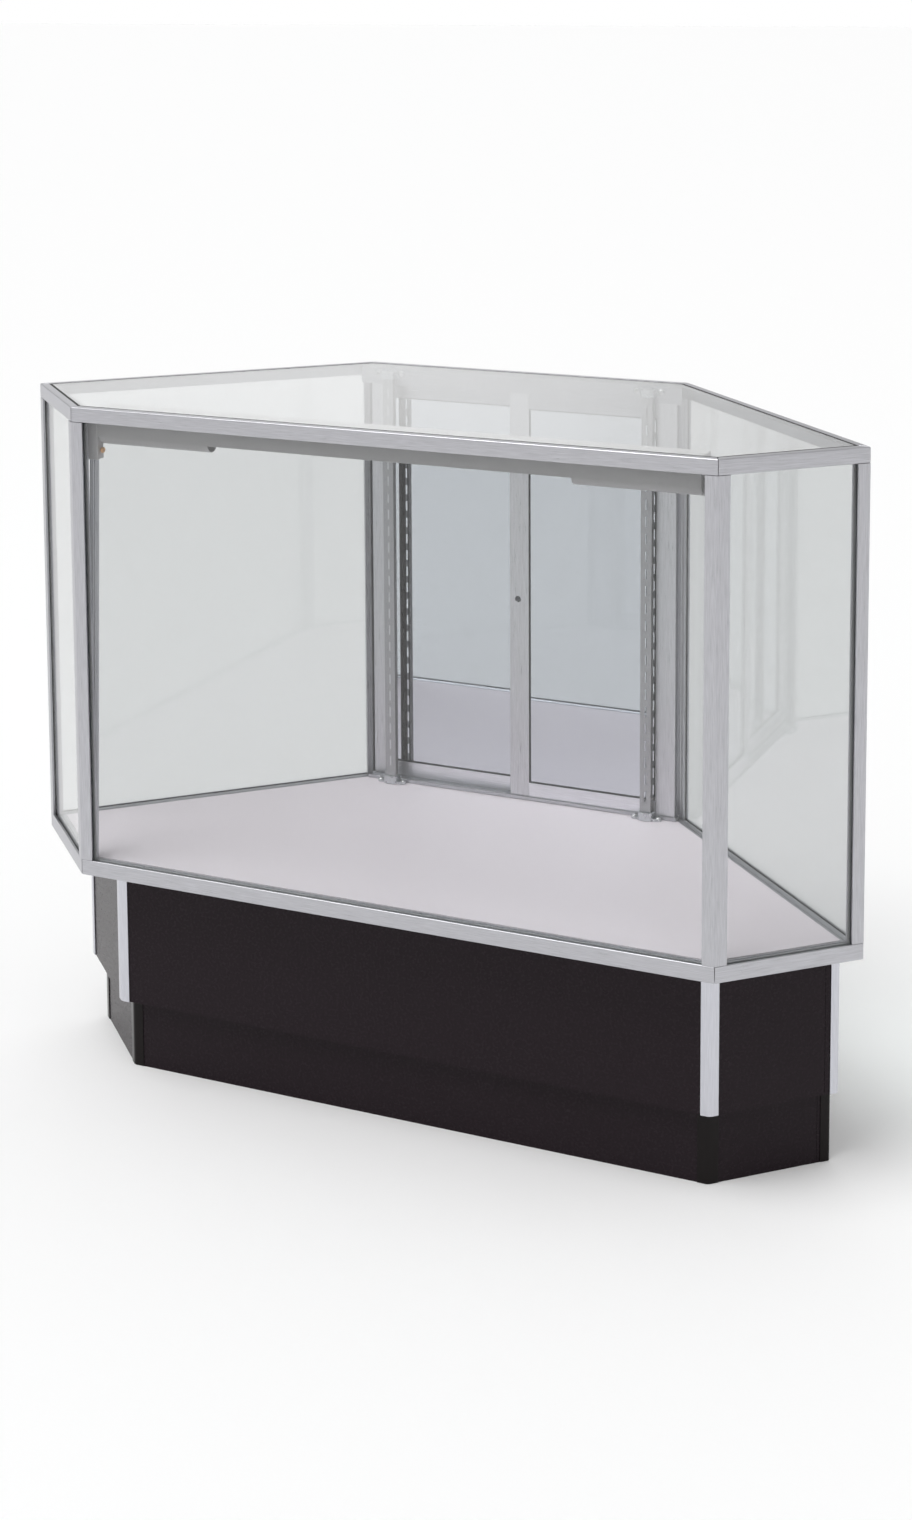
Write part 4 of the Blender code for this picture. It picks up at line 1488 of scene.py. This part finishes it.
@dataclass(frozen=True)
class ShelfStandards:
    """Two slotted channels from the deck to the header's face, with a screwed clip over each end.

    A channel opens towards the back. Its front web is two strips joined by a bridge between each slot and the
    next. Its flanks are a darker copy of the zinc, which paints their shade, and thin dark sheets inside it
    paint the shade in the channel.
    """

    x: float = 0.2045
    wall: float = 0.0010
    slot_width: float = 0.0026
    slot_length: float = 0.0148
    pitch: float = 0.0254
    end_clear: float = 0.012
    ease: float = 0.0002
    # Thin dark sheets inside the channel that paint its shade: their thickness, setback and play round the
    # slot.
    shade_sheet: float = 0.00015
    shade_sheet_setback: float = 0.0006
    shade_sheet_play: float = 0.0002
    lug_x: float = 0.01825
    lug_back: float = 0.00575
    lug_thickness: float = 0.003
    lug_radius: float = 0.00475
    screw_radius: float = 0.0042
    screw_turns: Pair = (-0.2, 1.2)

    def web(self, low: Vector, high: Vector) -> Shell:
        """The slotted front web.

        Args:
            low: The standard's near lower left corner.
            high: Its far upper right corner.

        Returns:
            The web.
        """
        middle, half = (low.x + high.x) / 2, self.slot_width / 2
        tall = high.z - low.z
        count = int((tall - 2 * self.end_clear) / self.pitch)
        first = low.z + (tall - (count - 1) * self.pitch - self.slot_length) / 2
        starts = [first + k * self.pitch for k in range(count)]
        strips = [(low.x, middle - half), (middle + half, high.x)]
        back = low.y + self.wall
        parts = [box_shell((a, low.y, low.z), (b, back, high.z), self.ease) for a, b in strips]
        edges = [low.z, *[z for start in starts for z in (start, start + self.slot_length)], high.z]
        for bottom, top in zip(edges[::2], edges[1::2]):
            parts.append(box_shell((middle - half, low.y, bottom), (middle + half, back, top), 0.0))
        return merged(parts)

    def channel(self, side: str) -> None:
        """Makes one channel, with flanks in a darker zinc that paints their shade and dark sheets that paint
        the shade inside it.

        Args:
            side: Which standard, left or right.
        """
        node = f"shelf_standard_{side}"
        low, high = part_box(node)
        flanks = [(low.x, low.x + self.wall), (high.x - self.wall, high.x)]
        back = low.y + self.wall
        walls = [box_shell((a, back, low.z), (b, high.y, high.z), self.ease) for a, b in flanks]
        piece(f"{node}_web", self.web(low, high), ZINC, stands_for=[node])
        # The flanks take the darker copy of the zinc, which paints their shade.
        piece(f"{node}_flanks", merged(walls), PAINTED_SHADE_ZINC)
        # Near-black sheets on the channel's inner faces: painted shade, on metal that is the same zinc plate.
        middle, half, t = (low.x + high.x) / 2, self.slot_width / 2, self.shade_sheet
        left, right, far = flanks[0][1], flanks[1][0], high.y - self.shade_sheet_setback
        half += self.shade_sheet_play
        shade_sheets = [
            box_shell((left, back + t, low.z), (left + t, far, high.z), 0.0),
            box_shell((right - t, back + t, low.z), (right, far, high.z), 0.0),
            box_shell((left, back, low.z), (middle - half, back + t, high.z), 0.0),
            box_shell((middle + half, back, low.z), (right, back + t, high.z), 0.0),
        ]
        piece(f"{node}_inside", merged(shade_sheets), PAINTED_SHADE_STEEL)

    def build(self) -> None:
        """Makes the channels, dresses the clips and puts a screw through each lug."""
        for side, middle in (("left", -self.x), ("right", self.x)):
            self.channel(side)
            heads = []
            for level in ("lower", "upper"):
                node = f"standard_clip_{level}_{side}"
                redress(node, CLIP_ZINC)
                low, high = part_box(node)
                if level == "lower":
                    y, z, axis = high.y - self.lug_back, low.z + self.lug_thickness, UP
                else:
                    y, z, axis = high.y - self.lug_thickness, high.z - self.lug_radius, -BACKWARDS
                for hand, turn in zip((-1, 1), self.screw_turns):
                    centre = np.array([middle + hand * self.lug_x, y, z])
                    heads.append(pan_screw(centre, axis, self.screw_radius, turn))
            piece(f"standard_screws_{side}", merged(heads), SCREW)


@dataclass(frozen=True)
class LightFitting:
    """A folded housing behind the front rail, a round-bottomed cover at each end and a slim tube lamp."""

    plan: Plan
    end: float = 0.029
    front: float = 0.0225
    depth: float = 0.038
    top: float = 0.9575
    front_bottom: float = 0.9222
    back_bottom: float = 0.935
    sheet: float = 0.0012
    cover_radius: float = 0.014
    cover_inset: float = 0.0388
    cover_centre: float = 0.925
    cover_top: float = 0.947
    cover_length: float = 0.1708
    tube_radius: float = 0.0075
    tube_height: float = 0.929
    tube_cap: tuple[Pair, ...] = (
        (0.0065, 0.0), (0.0006, 0.0), (0.0, 0.0008), (0.0, 0.012), (0.0003, 0.0125),
    )
    bends: Triple = (0.0004, 0.0006, 0.0018)
    holder_setback: float = 0.012
    holder_thickness: float = 0.006
    holder_half: float = 0.0095
    holder_drop: float = 0.010
    holder_top: float = 0.956
    holder_ease: float = 0.001

    def housing(self) -> Array:
        """The folded sheet's section: front flange, roof and back flange, with rounded folds.

        Returns:
            The section, as (inset, z).
        """
        back, t = self.front + self.depth, self.sheet
        points = np.array([
            (self.front, self.front_bottom), (self.front + t, self.front_bottom),
            (self.front + t, self.top - t), (back - t, self.top - t), (back - t, self.back_bottom),
            (back, self.back_bottom), (back, self.top), (self.front, self.top),
        ])
        rim, inner, outer = self.bends
        return eased(points, np.array([rim, rim, inner, inner, rim, rim, outer, outer]), 5)

    def cover(self) -> Array:
        """A trough's section: two walls joined by a half circle below, as an outer and an inner line.

        Returns:
            The section, as (inset, z).
        """
        a = np.linspace(np.pi, 2 * np.pi, 33)
        centre = np.array([self.cover_inset, self.cover_centre])
        outer, inner = (
            centre + r * np.column_stack([np.cos(a), np.sin(a)])
            for r in (self.cover_radius, self.cover_radius - self.sheet)
        )
        rise = [0.0, self.cover_top - self.cover_centre]
        return np.vstack([
            outer[0] + rise, outer, outer[-1] + rise, inner[-1] + rise, inner[::-1], inner[0] + rise,
        ])

    def build(self) -> None:
        """Makes the housing, its covers, and the lamp between its two holders."""
        length = self.plan.length(Edge.FRONT)
        span = (self.end, length - self.end)
        shell = self.plan.run(Edge.FRONT, self.housing(), *span)
        piece("light_housing_fold", shell, ENAMEL, stands_for=["light_housing"])
        inner = self.end + self.cover_length
        for side, ends in (("left", (self.end, inner)), ("right", (length - inner, length - self.end))):
            shell = self.plan.run(Edge.FRONT, self.cover(), *ends)
            piece(f"light_cover_{side}_trough", shell, ENAMEL, stands_for=[f"light_cover_{side}"])
        forward = self.plan.forward(Edge.FRONT)
        near, far = self.cover_inset - self.holder_half, self.cover_inset + self.holder_half
        reach = self.holder_setback - self.holder_thickness
        holders = []
        for along in (inner - self.holder_setback, length - inner + reach):
            low = self.plan.place(Edge.FRONT, along, near, self.tube_height - self.holder_drop)
            high = self.plan.place(Edge.FRONT, along + self.holder_thickness, far, self.holder_top)
            holders.append(box_shell(low, high, self.holder_ease))
        piece("lamp_holders", merged(holders), NYLON)
        foot = self.plan.place(Edge.FRONT, inner - reach, self.cover_inset, self.tube_height)
        tall = length - 2 * (inner - reach)
        profile = [(self.tube_radius - inset, h) for inset, h in self.tube_cap]
        profile += [(radius, tall - h) for radius, h in profile[::-1]]
        piece("lamp_tube", turned(np.array(profile), foot, forward, 32), TUBE)


@dataclass(frozen=True)
class Wiring:
    """The lamp's connector box with a brass thumbscrew, and a ribbed raceway down to the deck."""

    plan: Plan
    levels: Heights
    x: Pair = (0.0093, 0.0286)
    front: float = 0.0225
    depth: float = 0.016
    bottom: float = 0.8905
    top: float = 0.956
    foot: Pair = (0.0088, 0.0208)
    head: Pair = (0.0183, 0.0305)
    radius: float = 0.0064
    ribs: int = 14
    rib_height: float = 0.0004
    box_ease: float = 0.0016
    screw_height: float = 0.903
    screw_sink: float = 0.0004
    knurls: int = 24
    knurl_depth: float = 0.035
    knob: tuple[Pair, ...] = (
        (0.0008, 0.0), (0.0016, 0.0), (0.0016, 0.002), (0.0034, 0.002), (0.0038, 0.0024), (0.0038, 0.0052),
        (0.0034, 0.0058), (0.0008, 0.0061),
    )

    def raceway(self) -> Shell:
        """A tube whose radius waves round it, r + h * cos(ribs * a), between its foot and its head.

        Returns:
            The tube.
        """
        a = np.linspace(0, 2 * np.pi, 8 * self.ribs, endpoint=False)
        r = self.radius - self.rib_height + self.rib_height * np.cos(self.ribs * a)
        ends = ((self.foot, self.levels.deck + JOINT_GAP), (self.head, self.bottom - JOINT_GAP))
        loops = [
            self.plan.place(Edge.FRONT, along + r * np.cos(a), inset + r * np.sin(a), z)
            for (along, inset), z in ends
        ]
        return loft(np.stack(loops)).outward()

    def thumbscrew(self) -> Shell:
        """A knurled knob: a turned head whose rim waves, on a short stem out of the box's side.

        Returns:
            The knob.
        """
        start = self.x[1] - self.screw_sink
        foot = self.plan.place(Edge.FRONT, start, self.front + self.depth / 2, self.screw_height)
        a = np.linspace(0, 2 * np.pi, 4 * self.knurls, endpoint=False)
        wave = 1 + self.knurl_depth * np.cos(self.knurls * a)
        axis, side = self.plan.forward(Edge.FRONT), self.plan.inward(Edge.FRONT)
        loops = [
            foot + h * axis + (r * wave)[:, None] * (np.cos(a)[:, None] * side + np.sin(a)[:, None] * UP)
            for r, h in self.knob
        ]
        return loft(np.stack(loops)).outward()

    def build(self) -> None:
        """Makes the box, the raceway and the thumbscrew."""
        low = self.plan.place(Edge.FRONT, self.x[0], self.front, self.bottom)
        high = self.plan.place(Edge.FRONT, self.x[1], self.front + self.depth, self.top)
        piece("conduit_connector_box", box_shell(low, high, self.box_ease), ENAMEL,
              stands_for=["conduit_connector"])
        piece("wiring_raceway", self.raceway(), aluminium(Grain.UPRIGHT), stands_for=["wiring_conduit"])
        piece("connector_thumbscrew", self.thumbscrew(), BRASS)


@dataclass(frozen=True)
class Fasteners:
    """The few screws that show on the posts."""

    plan: Plan
    flange_inset: float = 0.014
    flange_along: float = 0.0160
    heights: Pair = (0.352, 0.918)
    radius: float = 0.0022

    def build(self) -> None:
        """Puts a screw near each end of the left and right posts' inner flanges."""
        heads = []
        for edge in (Edge.FRONT_LEFT, Edge.SIDE_RIGHT):
            for z in self.heights:
                centre = self.plan.place(edge, self.flange_along, self.flange_inset, z)
                heads.append(pan_screw(centre, self.plan.inward(edge), self.radius))
        piece("post_screws", merged(heads), SCREW)


# ---------------------------------------------------------------------------------------------------------
# Studio
# ---------------------------------------------------------------------------------------------------------


@dataclass(frozen=True)
class Studio:
    """A pale floor, a sun, a soft lamp, a grey world that the camera sees as white, and the camera."""

    position: Triple = (1.3546, -3.0123, 1.5527)
    yaw: float = -0.4289
    pitch: float = -0.1187
    roll: float = -0.0063
    lens: float = 95.98
    sensor: float = 36.0
    shift: Pair = (0.0179, -0.5482)
    floor_size: float = 120.0
    sun: float = 1.38
    sun_width: float = math.radians(34)
    greys: tuple[Pair, ...] = ((0.12, 0.72), (0.36, 0.60), (0.80, 0.67))
    glow_way: Triple = (-0.507, 0.843, 0.182)
    glow: tuple[float, float, float, float] = (0.955, 1.0, 1.0, 1.6)
    sun_tilt: Pair = (math.radians(22), math.radians(-14))
    sky_way: Triple = (-0.55, 0.45, 0.70)
    clip: Pair = (0.05, 100.0)
    lamp_at: Triple = (-2.2, -2.4, 3.2)
    lamp_aim: Triple = (0.0, 0.0, 0.6)
    lamp_size: float = 2.4
    lamp_power: float = 9.0

    def camera(self) -> None:
        """Places the camera from its yaw, pitch and roll."""
        level, steep = math.cos(self.pitch), math.sin(self.pitch)
        ahead = Vector((math.sin(self.yaw) * level, math.cos(self.yaw) * level, steep))
        right = Vector((math.cos(self.yaw), -math.sin(self.yaw), 0.0))
        above = right.cross(ahead)
        c, s = math.cos(self.roll), math.sin(self.roll)
        axes = (c * right + s * above, c * above - s * right, -ahead)
        data = bpy.data.cameras.new("camera")
        data.lens, data.sensor_width, data.sensor_fit = self.lens, self.sensor, "HORIZONTAL"
        data.shift_x, data.shift_y = self.shift
        data.clip_start, data.clip_end = self.clip
        made = bpy.data.objects.new("camera", data)
        made.matrix_world = Matrix.Translation(self.position) @ Matrix(axes).transposed().to_4x4()
        bpy.context.scene.collection.objects.link(made)
        bpy.context.scene.camera = made

    def floor(self) -> None:
        """Lays the floor and keeps it out of the object."""
        half = self.floor_size / 2
        corners = [(-half, -half, 0), (half, -half, 0), (half, half, 0), (-half, half, 0)]
        mesh = bpy.data.meshes.new("floor")
        mesh.from_pydata(corners, [], [(0, 1, 2, 3)])
        mesh.materials.append(FLOOR_PAINT.material())
        made = bpy.data.objects.new("floor", mesh)
        bpy.context.scene.collection.objects.link(made)

    def overhead(self) -> None:
        """Hangs a broad sun that lights the floor evenly and leaves a soft shadow."""
        data = bpy.data.lights.new("overhead", "SUN")
        data.energy, data.angle = self.sun, self.sun_width
        made = bpy.data.objects.new("overhead", data)
        made.rotation_euler = (*self.sun_tilt, 0.0)
        bpy.context.scene.collection.objects.link(made)

    def lamp(self) -> None:
        """Hangs a soft square lamp that faces the middle of the case."""
        data = bpy.data.lights.new("key", "AREA")
        data.shape, data.size, data.size_y = "RECTANGLE", self.lamp_size, self.lamp_size
        data.energy = self.lamp_power
        made = bpy.data.objects.new("key", data)
        made.location = self.lamp_at
        made.visible_camera = False
        way = Vector(self.lamp_aim) - Vector(self.lamp_at)
        made.rotation_euler = way.to_track_quat("-Z", "Y").to_euler()
        bpy.context.scene.collection.objects.link(made)

    def surround(self) -> None:
        """Makes the world.

        Its grey is a ramp over (1 + d) / 2, where d is the direction's dot product with `sky_way`, and its
        strength rises smoothly where the direction nears `glow_way`. The camera itself sees plain white.
        """
        world = bpy.data.worlds.new("surround")
        world.use_nodes = True
        tree = world.node_tree
        tree.nodes.clear()
        links, new = tree.links, tree.nodes.new
        way = new("ShaderNodeTexCoord").outputs["Generated"]
        nearness = []
        for toward in (self.sky_way, self.glow_way):
            dot = new("ShaderNodeVectorMath")
            dot.operation = "DOT_PRODUCT"
            dot.inputs[1].default_value = toward
            links.new(way, dot.inputs[0])
            nearness.append(dot.outputs["Value"])
        spread, ramp = new("ShaderNodeMapRange"), new("ShaderNodeValToRGB")
        spread.inputs["From Min"].default_value = -1.0
        links.new(nearness[0], spread.inputs["Value"])
        links.new(spread.outputs[0], ramp.inputs["Fac"])
        stops = ramp.color_ramp.elements
        stops.new(self.greys[1][0])
        for stop, (place, grey) in zip(stops, self.greys):
            stop.position, stop.color = place, (grey, grey, grey, 1.0)
        glow = new("ShaderNodeMapRange")
        glow.interpolation_type = "SMOOTHSTEP"
        for name, value in zip(("From Min", "From Max", "To Min", "To Max"), self.glow):
            glow.inputs[name].default_value = value
        links.new(nearness[1], glow.inputs["Value"])
        lit, seen, mix = new("ShaderNodeBackground"), new("ShaderNodeBackground"), new("ShaderNodeMixShader")
        links.new(ramp.outputs["Color"], lit.inputs["Color"])
        links.new(glow.outputs[0], lit.inputs["Strength"])
        seen.inputs["Color"].default_value = (1, 1, 1, 1)
        links.new(new("ShaderNodeLightPath").outputs["Is Camera Ray"], mix.inputs[0])
        links.new(lit.outputs[0], mix.inputs[1])
        links.new(seen.outputs[0], mix.inputs[2])
        links.new(mix.outputs[0], new("ShaderNodeOutputWorld").inputs["Surface"])
        bpy.context.scene.world = world

    def build(self) -> None:
        """Sets up the whole studio."""
        self.camera()
        self.floor()
        self.surround()
        self.overhead()
        self.lamp()
        bpy.context.scene.view_settings.view_transform = "Standard"


def main() -> None:
    """Builds the case in order: frame, glazing, base, doors, fittings, then the studio."""
    logging.basicConfig(level=logging.INFO, format="%(message)s")
    plan, levels = Plan.outer(), Heights()
    parts: list = [
        Studio(),
        AluminiumFrame(plan, levels),
        Glazing(plan, levels),
        Base(plan, levels),
        Tracks(plan, levels),
        SlidingDoor("outer", OUTER_DOOR, True, 0.0063),
        SlidingDoor("inner", INNER_DOOR, False, 0.0046),
        Lock(),
        ShelfStandards(),
        LightFitting(plan),
        Wiring(plan, levels),
        Fasteners(plan),
    ]
    for part in parts:
        part.build()
        log.info("%s done", type(part).__name__)


if __name__ == "__main__":
    main()
